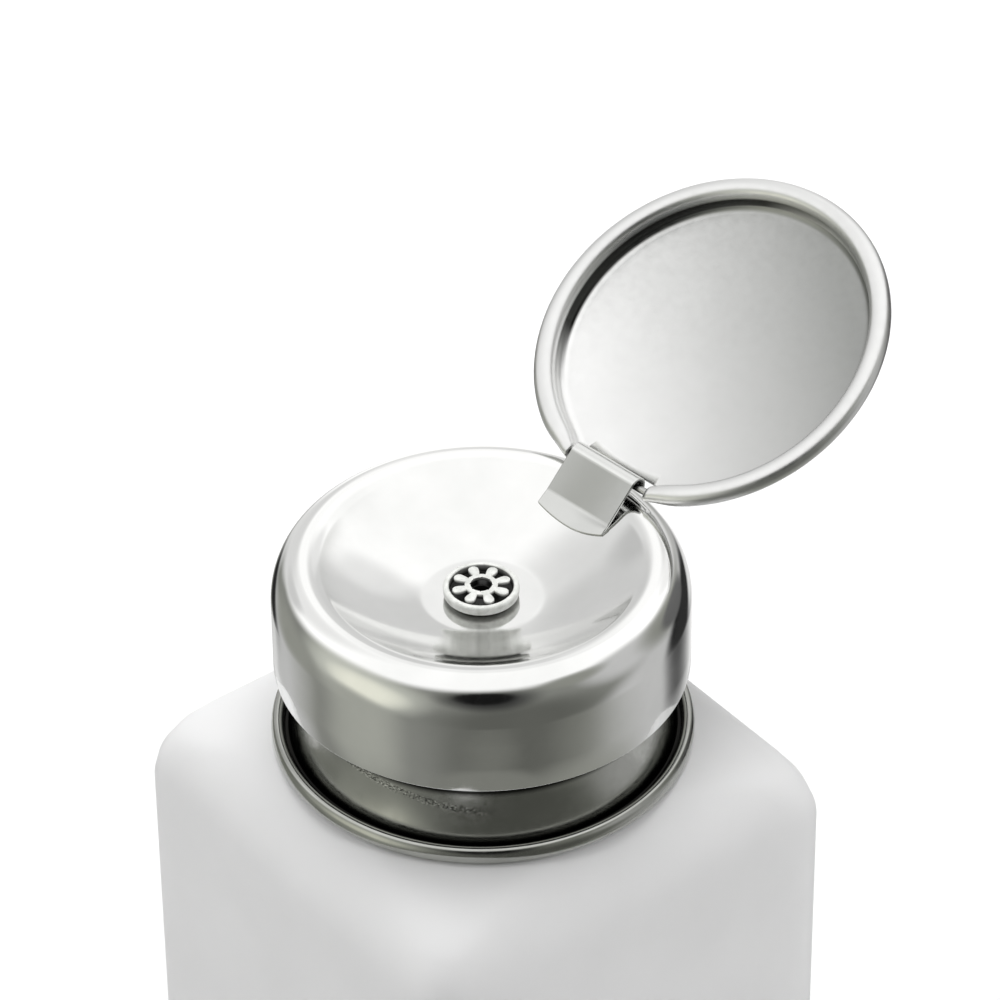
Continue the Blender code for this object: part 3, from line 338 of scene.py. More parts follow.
def lofted(name, rings, looped=False, crease=50):
    """A skin through rings of equal point count, closed at both ends or looped back to its first ring."""
    shape = bmesh.new()
    loops = [[shape.verts.new(point) for point in ring] for ring in rings]
    following = loops[1:] + loops[:1] if looped else loops[1:]
    for lower, upper in zip(loops, following):
        for index in range(len(lower)):
            shape.faces.new((lower[index - 1], lower[index], upper[index], upper[index - 1]))
    if not looped:
        shape.faces.new(loops[0])
        shape.faces.new(loops[-1])
    return piece_from(name, shape, crease)


def turned(name, outline, steps):
    """A piece turned about Z from a closed outline of (radius, height) points."""
    rings = []
    for step in range(steps):
        angle = tau * step / steps
        rings.append([(radius * cos(angle), radius * sin(angle), height) for radius, height in outline])
    return lofted(name, rings, looped=True)


def joined(name, items):
    """Several pieces as one mesh."""
    shape = bmesh.new()
    for item in items:
        mesh = item.data
        shape.from_mesh(mesh)
        bpy.data.objects.remove(item)
        bpy.data.meshes.remove(mesh)
    return set_out(name, mesh_from(name, shape))


def evaluated_mesh(item):
    """A new mesh of the object as its modifiers leave it."""
    bpy.context.view_layer.update()
    graph = bpy.context.evaluated_depsgraph_get()
    return bpy.data.meshes.new_from_object(item.evaluated_get(graph))


def cut_away(item, tool):
    """Takes the tool's shape out of the piece, and the tool out of the scene."""
    cut = item.modifiers.new("cut", "BOOLEAN")
    cut.operation = "DIFFERENCE"
    cut.object = tool
    cut.solver = "EXACT"
    mesh = evaluated_mesh(item)
    item.modifiers.remove(cut)
    bpy.data.objects.remove(tool)
    item.data = mesh
    mesh.name = item.name


def place(item, matrix):
    """Moves the mesh itself, so that the object stays at the origin."""
    item.data.transform(matrix)
    return item


# Shares that the finishes read from the points


def fade(value, start, stop):
    """0 before start, 1 after stop and even between them, either way round."""
    return min(max((value - start) / (stop - start), 0), 1)


def mark(item, **shares):
    """Writes a share for each point, such as how deep in a dark corner it lies, which the finish reads."""
    for name, weigh in shares.items():
        share = item.data.attributes.new(name, "FLOAT", "POINT")
        for vertex in item.data.vertices:
            share.data[vertex.index].value = weigh(vertex)
    return item


def from_axis(vertex):
    """The distance from the pump's axis."""
    return hypot(vertex.co.x, vertex.co.y)


# Bottle


def rounded_square(half, corner, height):
    """A level ring with straight sides and round corners, read out by direction from the middle."""
    ring = []
    middle = half - corner
    for index in range(BOTTLE_STEPS):
        turn = tau * (index + 0.5) / BOTTLE_STEPS
        turn -= sin(4 * turn) * 0.11  # crowds the points at the corners
        across, along = abs(cos(turn)), abs(sin(turn))
        if min(across, along) * half <= middle * max(across, along):
            reach = half / max(across, along)
        else:
            toward = middle * (across + along)
            reach = toward + sqrt(max(toward**2 - 2 * middle**2 + corner**2, 0))
        ring.append((reach * cos(turn), reach * sin(turn), height))
    return ring


def shoulder_ring(share, inset):
    """A ring of the domed shoulder, from the neck (share 0) down to the square sides (share 1)."""
    slope = share * pi / 2
    ring = SHOULDER_RING - inset
    half = ring + (HALF_SIDE - inset - ring) * sin(slope)
    height = SHOULDER_TOP - inset - (SHOULDER_TOP - SIDE_TOP - inset) * (1 - cos(slope))
    roundness = 0.5 * (1 + cos(pi * min(1, share / SHOULDER_ROUND_SHARE)))
    corner = min(SIDE_CORNER - inset + (ring - SIDE_CORNER + inset) * roundness, half)
    return rounded_square(half, corner, height)


def outside_rings():
    """The flat foot with its groove, the round foot edge, the sides and the shoulder."""
    rings = [rounded_square(half, SIDE_CORNER / 2, height) for half, height in FOOT_GROOVE]
    for step in range(FOOT_STEPS + 1):
        turn = pi / 2 * step / FOOT_STEPS
        half = HALF_SIDE - FOOT_EDGE * (1 - sin(turn))
        corner = max(SIDE_CORNER - (HALF_SIDE - half), SIDE_CORNER / 2)
        rings.append(rounded_square(half, corner, FOOT_EDGE * (1 - cos(turn))))
    for step in range(1, SIDE_STEPS):
        height = FOOT_EDGE + (SIDE_TOP - FOOT_EDGE) * step / SIDE_STEPS
        rings.append(rounded_square(HALF_SIDE, SIDE_CORNER, height))
    return rings + [shoulder_ring(step / SHOULDER_STEPS, 0) for step in range(SHOULDER_STEPS, -1, -1)]


def neck_rings():
    """The neck from its fillet on the shoulder over the rim and down its bore."""
    profile = (
        (NECK_RADIUS + NECK_FILLET, SHOULDER_TOP),
        (NECK_RADIUS + 0.3 * NECK_FILLET, SHOULDER_TOP + 0.3 * NECK_FILLET),
        (NECK_RADIUS, SHOULDER_TOP + NECK_FILLET),
        (NECK_RADIUS, NECK_RIM - RIM_ROUND),
        (NECK_RADIUS - RIM_ROUND, NECK_RIM),
        (NECK_BORE, NECK_RIM),
        (NECK_BORE, SHOULDER_TOP - SIDE_WALL),
    )
    return [rounded_square(radius, radius, height) for radius, height in profile]


def inside_rings():
    """The inside from the shoulder down to the floor."""
    inner = HALF_SIDE - SIDE_WALL
    rings = [shoulder_ring(step / SHOULDER_STEPS, SIDE_WALL) for step in range(0, SHOULDER_STEPS + 1, 2)]
    rings.append(rounded_square(inner, SIDE_CORNER - SIDE_WALL, FOOT_FLOOR + FLOOR_ROUND))
    rings.append(rounded_square(inner - FLOOR_ROUND, SIDE_CORNER / 2, FOOT_FLOOR))
    return rings


def make_thread():
    """One turn of the neck's moulded thread, with tapered ends."""
    root = NECK_RADIUS - THREAD_SINK
    foot, tip = THREAD_FOOT_WIDTH / 2, THREAD_TIP_WIDTH / 2
    rings = []
    for step in range(THREAD_STEPS + 1):
        turn = step / THREAD_STEPS
        taper = min(1, THREAD_TAPER * min(turn, 1 - turn) + THREAD_END_SHARE)
        crest = NECK_RADIUS + THREAD_HEIGHT * taper
        middle = THREAD_START + THREAD_PITCH * turn
        across, along = cos(tau * turn), sin(tau * turn)
        section = ((root, -foot), (NECK_RADIUS, -foot), (crest, -tip))
        section += tuple((radius, -rise) for radius, rise in section[::-1])
        rings.append([(radius * across, radius * along, middle + rise) for radius, rise in section])
    return lofted("thread_ridge", rings, crease=35)


def make_bottle():
    """The blow-moulded body with its open, threaded neck."""
    body = lofted("bottle_body", outside_rings() + neck_rings() + inside_rings())
    return joined("bottle_body", [body, make_thread()])


# Collar


def collar_wall(height):
    """The sleeve's radius, which flares a little towards its foot."""
    return COLLAR_RADIUS + FLARE * max((FLARE_START - height) / (FLARE_START - FLARE_FOOT), 0) ** 2


def collar_path():
    """The sleeve's outer face from its bore over the step and the top, and down the wall to the groove."""
    step, top = COLLAR_STEP + COLLAR_BEND, COLLAR_TOP - COLLAR_BEND
    foot = collar_wall(GROOVE_HEIGHT + COLLAR_BEND)
    shoulder = (COLLAR_RADIUS - COLLAR_SHOULDER, COLLAR_TOP - COLLAR_SHOULDER)
    path = [(COLLAR_BORE, COLLAR_STEP), (COLLAR_STEP_RADIUS - COLLAR_BEND, COLLAR_STEP)]
    path += arc((COLLAR_STEP_RADIUS - COLLAR_BEND, step), COLLAR_BEND, -pi / 2, 0, 4)[1:]
    path += arc((COLLAR_STEP_RADIUS + COLLAR_BEND, top), COLLAR_BEND, pi, pi / 2, 4)
    path += arc(shoulder, COLLAR_SHOULDER, pi / 2, 0, 10)
    levels = [COLLAR_STEP - MM * quarter / 4 for quarter in range(38)]
    path += [(collar_wall(height), height) for height in levels]
    path += arc((foot + COLLAR_BEND, GROOVE_HEIGHT + COLLAR_BEND), COLLAR_BEND, pi + 0.3, 3 * pi / 2, 8)
    return path + [(BEAD_RADIUS - BEAD_HALF_WIDTH - BEAD_GAP, GROOVE_HEIGHT)]


def collar_crevice(vertex):
    """Painted shade in the groove behind the bead and in the seam under the cup's edge."""
    radius, height = from_axis(vertex), vertex.co.z
    groove = fade(radius, *GROOVE_RADII) * fade(height, *GROOVE_HEIGHTS)
    seam = 0.95 * fade(height, *SEAM_HEIGHTS) * fade(radius, *SEAM_RADII)
    return max(groove, seam)


def collar_scuff(vertex):
    """The rubbed patch, which runs down from the left to the middle of the front."""
    turn = degrees(atan2(vertex.co.dot(RIGHT_OF_CAMERA), vertex.co.dot(TOWARDS_CAMERA)))
    off = abs(vertex.co.z - SCUFF_HEIGHT + SCUFF_DROP * fade(turn, *SCUFF_FALL))
    return fade(off, *SCUFF_EDGE) * fade(turn, *SCUFF_LEFT) * fade(turn, *SCUFF_RIGHT)


def make_collar():
    """The steel sleeve over the closure: stepped top, flared wall, tight groove and rolled bead."""
    path = collar_path()
    bead = arc(
        (BEAD_RADIUS, BEAD_HEIGHT), BEAD_HALF_WIDTH, radians(172), radians(-150), 34, rise=BEAD_HALF_HEIGHT
    )
    sleeve = turned("collar_sleeve", path + bead + beside(path, COLLAR_SHEET)[::-1], LARGE_STEPS)
    return mark(sleeve, crevice=collar_crevice, scuff=collar_scuff)


# Cup with the dish


def ball_height(radius):
    """The height of the ball's curve that the dish follows outside its flat floor."""
    rise = sqrt(DISH_CURVE**2 - DISH_FLOOR_RADIUS**2)
    return DISH_FLOOR + rise - sqrt(DISH_CURVE**2 - radius**2)


def dish_height(radius):
    """The height of the dish's upper face, with a soft edge round its flat floor."""
    start = DISH_FLOOR_RADIUS - DISH_FLOOR_BLEND
    stop = DISH_FLOOR_RADIUS + DISH_FLOOR_BLEND
    if radius <= start:
        return DISH_FLOOR
    if radius >= stop:
        return ball_height(radius)
    share = (radius - start) / (stop - start)
    return DISH_FLOOR + (ball_height(stop) - DISH_FLOOR) * share**2


def cup_path():
    """The cup's outer face from the middle hole up the dish, over the crest and down to the skirt's edge."""
    slope = asin(DISH_EDGE / DISH_CURVE)
    radius = (CREST_RADIUS - DISH_EDGE) / sin(slope)
    middle = dish_height(DISH_EDGE) - radius * cos(slope)
    shoulder = (CREST_RADIUS, middle + radius - CREST_SHOULDER)
    path = [(CUP_HOLE, DISH_FLOOR), (CUP_SEAT, DISH_FLOOR)]
    path += [(tenth * MM / 10, dish_height(tenth * MM / 10)) for tenth in DISH_TENTHS]
    path += arc((CREST_RADIUS, middle), radius, pi / 2 + slope, pi / 2, 14)
    path += arc(shoulder, CUP_RADIUS - CREST_RADIUS, pi / 2, 0, 30, rise=CREST_SHOULDER)[1:]
    return path + [(CUP_RADIUS, height) for height in SKIRT_LEVELS]


def cup_buffed(vertex):
    """A painted highlight: a brighter band round the crest, which stops short of the front."""
    radius = from_axis(vertex)
    band = fade(radius, *PAINTED_HIGHLIGHT_INSIDE) * fade(radius, *PAINTED_HIGHLIGHT_OUTSIDE)
    upper = fade(vertex.co.z, *PAINTED_HIGHLIGHT_HEIGHTS)
    return band * upper * fade(vertex.co.dot(TOWARDS_CAMERA) / max(radius, MM), *PAINTED_HIGHLIGHT_FRONT)


def make_cup():
    """The pressed cup: concave dish, round crest and straight skirt, with a highlight painted round the
    crest.
    """
    path = cup_path()
    outline = path + beside(path, CUP_SHEET)[::-1]
    cup = turned("dish_cup_shell", softened(outline, PRESSED_EDGE), LARGE_STEPS)
    return mark(cup, buffed=cup_buffed)


# Nozzle


def nozzle_crevice(vertex):
    """Painted shade down the recess and under the rim."""
    radius, height = from_axis(vertex), vertex.co.z
    recess = fade(radius, *RECESS_RADII) * fade(height, *RECESS_HEIGHTS)
    undercut = 0.5 * fade(radius, *UNDERCUT_RADII) * fade(height, *UNDERCUT_HEIGHTS)
    return max(recess, undercut)


def make_nozzle_ring():
    """The bush in the middle of the dish: a round rim over an undercut, and its neck in the stem."""
    outline = [(NOZZLE_BORE, NOZZLE_RECESS), (NOZZLE_INSIDE, NOZZLE_RECESS)]
    outline += arc((NOZZLE_INSIDE + NOZZLE_LIP, NOZZLE_TOP - NOZZLE_LIP), NOZZLE_LIP, pi, pi / 2, 6)
    outline += arc((NOZZLE_RIM - NOZZLE_EDGE, NOZZLE_TOP - NOZZLE_EDGE), NOZZLE_EDGE, pi / 2, -0.3, 12)
    outline += [(NOZZLE_RIM - inset, height) for inset, height in NOZZLE_UNDERCUT]
    outline += [
        (NOZZLE_RIM - NOZZLE_TAPER, NOZZLE_FOOT),
        (NOZZLE_NECK, NOZZLE_FOOT),
        (NOZZLE_NECK, NOZZLE_END),
        (NOZZLE_BORE, NOZZLE_END),
    ]
    ring = turned("nozzle_bush", softened(outline, TURNED_EDGE), SMALL_STEPS)
    return mark(ring, crevice=nozzle_crevice)


# Nodes


def feed(tree, node, feeds):
    """Gives each named input of a node its value, or links it to another node's output."""
    for label, source in feeds.items():
        if isinstance(source, bpy.types.NodeSocket):
            tree.links.new(source, node.inputs[label])
        else:
            node.inputs[label].default_value = source
    return node


def added(tree, kind, feeds, **settings):
    """A new node with its settings made and its inputs fed."""
    node = tree.nodes.new(kind)
    for label, value in settings.items():
        setattr(node, label, value)
    return feed(tree, node, feeds)


# Parts that repeat or follow a path, from node trees


def geometry_tree(name, sizes):
    """A new node tree with named inputs for its sizes and its finish, and the node that gives them out."""
    tree = bpy.data.node_groups.new(name, "GeometryNodeTree")
    face = tree.interface
    face.new_socket("Geometry", in_out="INPUT", socket_type="NodeSocketGeometry")
    for label, kind, value in sizes:
        face.new_socket(label, in_out="INPUT", socket_type=kind).default_value = value
    face.new_socket("Finish", in_out="INPUT", socket_type="NodeSocketMaterial")
    face.new_socket("Geometry", in_out="OUTPUT", socket_type="NodeSocketGeometry")
    return tree, tree.nodes.new("NodeGroupInput")


def finished(tree, source, last):
    """The tree, ended with its finish and its output."""
    feeds = {"Geometry": last.outputs["Geometry"], "Material": source.outputs["Finish"]}
    finish = added(tree, "GeometryNodeSetMaterial", feeds)
    added(tree, "NodeGroupOutput", {"Geometry": finish.outputs["Geometry"]})
    return tree


def baked(name, base, tree, values):
    """The tree's result on a base object as a plain mesh, with the tree taken off again."""
    modifier = base.modifiers.new(tree.name, "NODES")
    modifier.node_group = tree
    for item in tree.interface.items_tree:
        if item.in_out == "INPUT" and item.name in values:
            modifier[item.identifier] = values[item.name]
    mesh = evaluated_mesh(base)
    base.modifiers.remove(modifier)
    bpy.data.objects.remove(base)
    mesh.name = name
    return set_out(name, mesh)


def wire_tree():
    """Sweeps a round section along the base object's edges."""
    sizes = (("Radius", "NodeSocketFloat", WIRE_RADIUS), ("Sides", "NodeSocketInt", 16))
    tree, source = geometry_tree("round_wire", sizes)
    path = added(tree, "GeometryNodeMeshToCurve", {"Mesh": source.outputs["Geometry"]})
    feeds = {"Resolution": source.outputs["Sides"], "Radius": source.outputs["Radius"]}
    section = added(tree, "GeometryNodeCurvePrimitiveCircle", feeds)
    feeds = {"Curve": path.outputs["Curve"], "Profile Curve": section.outputs["Curve"], "Fill Caps": True}
    sweep = added(tree, "GeometryNodeCurveToMesh", feeds)
    smooth = added(tree, "GeometryNodeSetShadeSmooth", {"Geometry": sweep.outputs["Mesh"]})
    real = added(tree, "GeometryNodeRealizeInstances", {"Geometry": smooth.outputs["Geometry"]})
    return finished(tree, source, real)


def swept_wire(name, points, radius, sides, closed, finish):
    """A round wire along the points."""
    mesh = bpy.data.meshes.new(name + "_path")
    edges = [(index, index + 1) for index in range(len(points) - 1)]
    if closed:
        edges.append((len(points) - 1, 0))
    mesh.from_pydata(points, edges, [])
    base = set_out(name + "_path", mesh)
    return baked(name, base, wire_tree(), {"Radius": radius, "Sides": sides, "Finish": finish})


def ring_tree():
    """Sets copies of the base wedge evenly round the middle and welds them where they meet."""
    sizes = (("Wedges", "NodeSocketInt", PETALS), ("Weld", "NodeSocketFloat", 0.001 * MM))
    tree, source = geometry_tree("wedges_in_a_ring", sizes)
    wedges = source.outputs["Wedges"]
    number = added(tree, "GeometryNodeInputIndex", {})
    share = added(tree, "ShaderNodeMath", {0: number.outputs["Index"], 1: wedges}, operation="DIVIDE")
    whole = added(tree, "ShaderNodeMath", {0: share.outputs[0], 1: tau}, operation="MULTIPLY")
    turn = added(tree, "ShaderNodeCombineXYZ", {"Z": whole.outputs[0]})
    spots = added(tree, "GeometryNodeMeshLine", {"Count": wedges, "Offset": (0, 0, 0)}, mode="OFFSET")
    feeds = {
        "Points": spots.outputs["Mesh"],
        "Instance": source.outputs["Geometry"],
        "Rotation": turn.outputs["Vector"],
    }
    copies = added(tree, "GeometryNodeInstanceOnPoints", feeds)
    real = added(tree, "GeometryNodeRealizeInstances", {"Geometry": copies.outputs["Instances"]})
    feeds = {"Geometry": real.outputs["Geometry"], "Distance": source.outputs["Weld"]}
    return finished(tree, source, added(tree, "GeometryNodeMergeByDistance", feeds))


# Star


def petal_side():
    """Half the outline of a petal and its share of the hub, from the join to the round tip."""
    root_turn = asin(PETAL_ROOT / STAR_HUB) * 1.25
    foot = STAR_HUB * cos(root_turn)
    side = arc((0, 0), STAR_HUB, pi / PETALS, root_turn, 5)[:-1]
    for step in range(PETAL_STEPS + 1):
        share = step / PETAL_STEPS
        swell = PETAL_ROOT + (PETAL_BELLY - PETAL_ROOT) * sin(pi * min(share / 1.25, 1)) ** 1.2
        round_end = sqrt(max(1 - max((share - 0.66) / 0.34, 0) ** 2, 0))
        side.append((foot + (PETAL_TIP - foot) * share, swell * round_end))
    return side


def wedge_loop(shape, points, grow, height, outward):
    """The outline at one height, moved out or in, its two ends kept on the joins with the neighbours."""
    loop = []
    for index, (x, y) in enumerate(beside(points, -grow)):
        if index in (0, len(points) - 1):
            x, y = points[index]
            pull = 1 + outward * grow / hypot(x, y)
            x, y = x * pull, y * pull
        loop.append(shape.verts.new((x, y, height)))
    return loop


def star_wedge():
    """One petal with its share of the hub, open on the two sides where its neighbours join."""
    side = petal_side()
    outer = side + [(x, -y) for x, y in side[-2::-1]]
    inner = arc((0, 0), STAR_HOLE, pi / PETALS, -pi / PETALS, 8)
    levels = ((0, STAR_FLOOR + 0.04 * MM), (0, STAR_TOP - STAR_EDGE), (-STAR_EDGE, STAR_TOP))
    shape = bmesh.new()
    lows, highs = [], []
    for points, outward in ((outer, 1), (inner, -1)):
        loops = [wedge_loop(shape, points, grow, height, outward) for grow, height in levels]
        for lower, upper in zip(loops, loops[1:]):
            for index in range(len(points) - 1):
                shape.faces.new((lower[index], lower[index + 1], upper[index + 1], upper[index]))
        lows.append(loops[0])
        highs.append(loops[-1])
    for first, second in (highs, lows):
        shape.faces.new(first + second[::-1])
    bmesh.ops.recalc_face_normals(shape, faces=shape.faces[:])
    return set_out("star_wedge", mesh_from("star_wedge", shape))


def star_crevice(vertex):
    """Painted shade down the petals' sides."""
    return fade(vertex.co.z, *PETAL_HEIGHTS)


def make_star(finish):
    """The outlet star: leaf-shaped petals round a hub with a hole."""
    star = baked("outlet_star", star_wedge(), ring_tree(), {"Wedges": PETALS, "Finish": finish})
    shape = bmesh.new()
    shape.from_mesh(star.data)
    bmesh.ops.recalc_face_normals(shape, faces=shape.faces[:])
    bmesh.ops.triangulate(shape, faces=[face for face in shape.faces if len(face.verts) > 4])
    shape.to_mesh(star.data)
    shape.free()
    star.data.shade_smooth()
    star.data.set_sharp_from_angle(angle=radians(50))
    mark(star, crevice=star_crevice)
    return place(star, Matrix.Rotation(STAR_TURN, 4, "Z"))


# Lid and wire, made lying closed with the hinge pin along X at the origin


def lid_frame():
    """From the closed lid about its hinge axis to the open lid in its place."""
    hinge = Matrix.Rotation(HEAD_TURN, 4, "Z") @ Matrix.Translation((0, HINGE_RADIUS, HINGE_HEIGHT))
    return hinge @ Matrix.Rotation(-LID_ANGLE, 4, "X")


def lid_face(radius):
    """The height of the lid's slightly domed outer face."""
    return LID_DEPTH + 0.1 * MM - LID_DOME * (radius / LID_WALL) ** 2


def lid_curl(middle, radius):
    """The rolled rim's outline, a little flattened where it meets the cup."""
    points = []
    for step in range(CURL_STEPS + 1):
        angle = pi + LID_CURL_TURN * step / CURL_STEPS
        flat = 1 - 0.12 * max(-sin(angle), 0) ** 3
        points.append((middle + radius * cos(angle), radius * sin(angle) * flat))
    return points


def lid_section(pinch):
    """The pressed lid's outline at one direction; pinch closes the curl on the wire."""
    curl = LID_CURL * (1 - pinch) + (WIRE_RADIUS + LID_SHEET + 0.02 * MM) * pinch
    wall = LID_WALL * (1 - pinch) + (LID_CURL_CENTRE + LID_SHEET - curl) * pinch
    middle = wall - LID_SHEET + curl
    edge = wall - LID_ROUND
    corner = (edge, lid_face(edge) - LID_ROUND)
    spots = [0.02 * MM] + [edge * step / DISC_STEPS for step in range(1, DISC_STEPS)]
    outside = [(spot, lid_face(spot)) for spot in spots]
    outside += arc(corner, LID_ROUND, pi / 2 - 0.05, 0, 12)
    outside += lid_curl(middle, curl - LID_SHEET)
    inside = [(spot, lid_face(spot) - LID_SHEET) for spot in spots]
    inside += arc(corner, LID_ROUND - LID_SHEET, pi / 2 - 0.05, 0, 12)
    inside += lid_curl(middle, curl)
    return outside + inside[::-1]


def lid_pan():
    """The whole lid, its curl pinched on the wire at the hinge."""
    rings = []
    for step in range(LARGE_STEPS):
        angle = tau * step / LARGE_STEPS
        from_hinge = abs((angle - pi / 2 + pi) % tau - pi)
        pinch = max(0, 1 - max(from_hinge - PINCH_END, 0) / PINCH_FADE) ** 2
        rings.append([(r * cos(angle), r * sin(angle) - LID_PIN_OFFSET, z) for r, z in lid_section(pinch)])
    return lofted("lid_pan", rings, looped=True)


def notch_tool():
    """The block that takes the notch for the clip out of the lid."""
    shape = bmesh.new()
    bmesh.ops.create_cube(shape, size=1)
    bmesh.ops.scale(shape, vec=NOTCH_HIGH - NOTCH_LOW, verts=shape.verts[:])
    bmesh.ops.translate(shape, vec=(NOTCH_LOW + NOTCH_HIGH) / 2, verts=shape.verts[:])
    upright = [edge for edge in shape.edges if abs(edge.verts[0].co.z - edge.verts[1].co.z) > MM]
    bmesh.ops.bevel(shape, geom=upright, offset=NOTCH_CORNER, segments=4, profile=0.5, affect="EDGES")
    return piece_from("notch_tool", shape)


def from_lid_middle(vertex):
    """The distance from the lid's middle."""
    return hypot(vertex.co.x, vertex.co.y + LID_PIN_OFFSET)


def lid_crevice(vertex):
    """Dark in the corner between the disc and the rim, on the side that turns away from the light."""
    radius, height = from_lid_middle(vertex), vertex.co.z
    turn = degrees(atan2(vertex.co.y + LID_PIN_OFFSET, vertex.co.x)) % 360
    corner = fade(radius, *LID_CORNER_INSIDE) * fade(radius, *LID_CORNER_OUTSIDE)
    corner *= fade(height, *LID_CORNER_HEIGHTS)
    return corner * fade(turn, *LID_CORNER_START) * fade(turn, *LID_CORNER_END)


def lid_film(vertex):
    """Painted shade on the disc's inner face for its dimmer reflection, denser towards one side, and a trace
    of it elsewhere.
    """
    if vertex.normal.z < -0.5 and from_lid_middle(vertex) < LID_PAINTED_REFLECTION_RADIUS:
        return fade(LID_PAINTED_REFLECTION_SLANT * vertex.co.x - vertex.co.y, *LID_PAINTED_REFLECTION_SPAN)
    return LID_PAINTED_REFLECTION_TRACE


def make_lid():
    """The lid with its rolled rim and the notch for the clip."""
    lid = lid_pan()
    cut_away(lid, notch_tool())
    mark(lid, crevice=lid_crevice, film=lid_film)
    return place(lid, lid_frame())


def make_lid_wire(finish):
    """The wire ring in the rolled rim, straight and bare across the hinge."""
    half = acos(LID_PIN_OFFSET / LID_CURL_CENTRE)
    points = []
    for step in range(RIM_WIRE_STEPS + 1):
        angle = pi / 2 + half + 2 * (pi - half) * step / RIM_WIRE_STEPS
        points.append((LID_CURL_CENTRE * cos(angle), LID_CURL_CENTRE * sin(angle) - LID_PIN_OFFSET, 0))
    wire = swept_wire("hinge_wire", points, WIRE_RADIUS, 20, True, finish)
    return place(wire, lid_frame())


# Clip


def clip_bend(across):
    """Where the plate bends into the tab, a little nearer the middle at the clip's sides."""
    return DISH_EDGE - CLIP_BEND - CLIP_BEND_BOW * (2 * across / CLIP_WIDTH) ** 2


def clip_tab(across):
    """The tab's middle line along the dish, from the bend to its rounded end."""
    rounding = CLIP_CUT_CORNER if across > 0 else CLIP_FULL_CORNER
    bend = clip_bend(across)
    end = DISH_EDGE - CLIP_END + rounding * (2 * across / CLIP_WIDTH) ** 2
    spots = [bend + (end - bend) * step / TAB_STEPS for step in range(TAB_STEPS + 1)]
    lift = CLIP_LIFT + CLIP_SHEET / 2
    return [(spot, dish_height(hypot(across, spot)) + lift) for spot in spots]


def clip_path(across):
    """The middle of the clip's sheet at a place across its width: barrel, plate and tab."""
    tab = clip_tab(across)
    away = (tab[0][0] - HINGE_RADIUS, tab[0][1] - HINGE_HEIGHT)
    radius = CLIP_BARREL - CLIP_SHEET / 2
    tangent = atan2(away[1], away[0]) % tau - acos(radius / hypot(*away))
    barrel = arc((HINGE_RADIUS, HINGE_HEIGHT), radius, CLIP_BARREL_START, tangent, 26)
    start, stop = Vector(barrel[-1]), Vector(tab[0])
    plate = [tuple(start.lerp(stop, share)) for share in PLATE_SHARES]
    return barrel + plate + softened([plate[-1], tab[0], tab[1]], CLIP_FOLD, 4, False)[1:-1] + tab[1:]


def clip_section(across):
    """The strip's outline at a place across its width, thinned towards the end of the tab."""
    middle = clip_path(across)
    below = beside(middle, -CLIP_SHEET / 2)
    above = beside(middle, CLIP_SHEET / 2)
    if above[-1][1] < below[-1][1]:
        below, above = above, below
    for index in range(1, CLIP_THINNED + 1):
        thin = 0.35 + 0.1 * index
        above[-index] = tuple(Vector(below[-index]).lerp(Vector(above[-index]), thin))
    return [(across, along, height) for along, height in below + above[::-1]]


def from_pin(vertex):
    """The way from the hinge pin, level with the point across the clip."""
    return vertex.co - Vector((vertex.co.x, HINGE_RADIUS, HINGE_HEIGHT))


def clip_crevice(vertex):
    """Painted shade inside the barrel and a little under the plate."""
    outward = from_pin(vertex)
    if outward.length < CLIP_BARREL + CLIP_BARREL_SKIN:
        return 0.85 if vertex.normal.dot(outward) < 0 else 0
    return 0.2 if vertex.normal.z < 0 else 0


def clip_film(vertex):
    """Painted shade on the plate's upper face for its darker reflection, denser above the bend."""
    if vertex.normal.z < 0:
        return 0
    outward, bend = from_pin(vertex), clip_bend(vertex.co.x)
    plate = fade(degrees(atan2(outward.z, outward.y)) % 360, *CLIP_PAINTED_REFLECTION_TURNS)
    return plate * (0.5 + 0.5 * fade(vertex.co.y, bend, bend + CLIP_PAINTED_REFLECTION_STEP))


def make_clip():
    """The hinge clip: a strip curled over the wire, its tab bent to lie along the dish."""
    rings = [clip_section(CLIP_WIDTH * (step / CLIP_STEPS - 0.5)) for step in range(CLIP_STEPS + 1)]
    clip = mark(lofted("hinge_strip", rings), crevice=clip_crevice, film=clip_film)
    bevel = clip.modifiers.new("edge", "BEVEL")
    bevel.width = CLIP_EDGE
    bevel.segments = 2
    bevel.limit_method = "ANGLE"
    bevel.angle_limit = radians(60)
    return place(clip, Matrix.Rotation(HEAD_TURN, 4, "Z"))


# Return spring, which fills the box of its solid

COIL_LOW, COIL_HIGH = (Vector(corner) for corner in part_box("return_spring"))


def make_coil(finish):
    """The return spring as one swept wire, its end turns wound closer than the rest."""
    radius = (COIL_HIGH.x - COIL_LOW.x) / 2 - COIL_WIRE
    bottom, top = COIL_LOW.z + COIL_WIRE, COIL_HIGH.z - COIL_WIRE
    closing = 4 * COIL_WIRE / (top - bottom)
    points = []
    for index in range(COIL_TURNS * COIL_STEPS + 1):
        turns = index / COIL_STEPS
        end_turns = min(turns, 1) + max(turns - (COIL_TURNS - 1), 0)
        rise = closing * end_turns + (1 - 2 * closing) * (turns - end_turns) / (COIL_TURNS - 2)
        angle = tau * turns
        points.append((radius * cos(angle), radius * sin(angle), bottom + (top - bottom) * rise))
    return swept_wire("return_coil", points, COIL_WIRE, 14, False, finish)


# Finishes


def new_finish(name):
    """A material with its shader node and its node tree."""
    material = bpy.data.materials.new(name)
    material.use_nodes = True
    return material, material.node_tree.nodes["Principled BSDF"], material.node_tree


def noise(tree, scale, stretch=(1, 1, 1), **settings):
    """A noise pattern on the object's own coordinates."""
    where = added(tree, "ShaderNodeTexCoord", {})
    fit = added(tree, "ShaderNodeMapping", {"Vector": where.outputs["Object"], "Scale": stretch})
    feeds = {"Vector": fit.outputs["Vector"], "Scale": scale, **settings}
    return added(tree, "ShaderNodeTexNoise", feeds).outputs["Fac"]


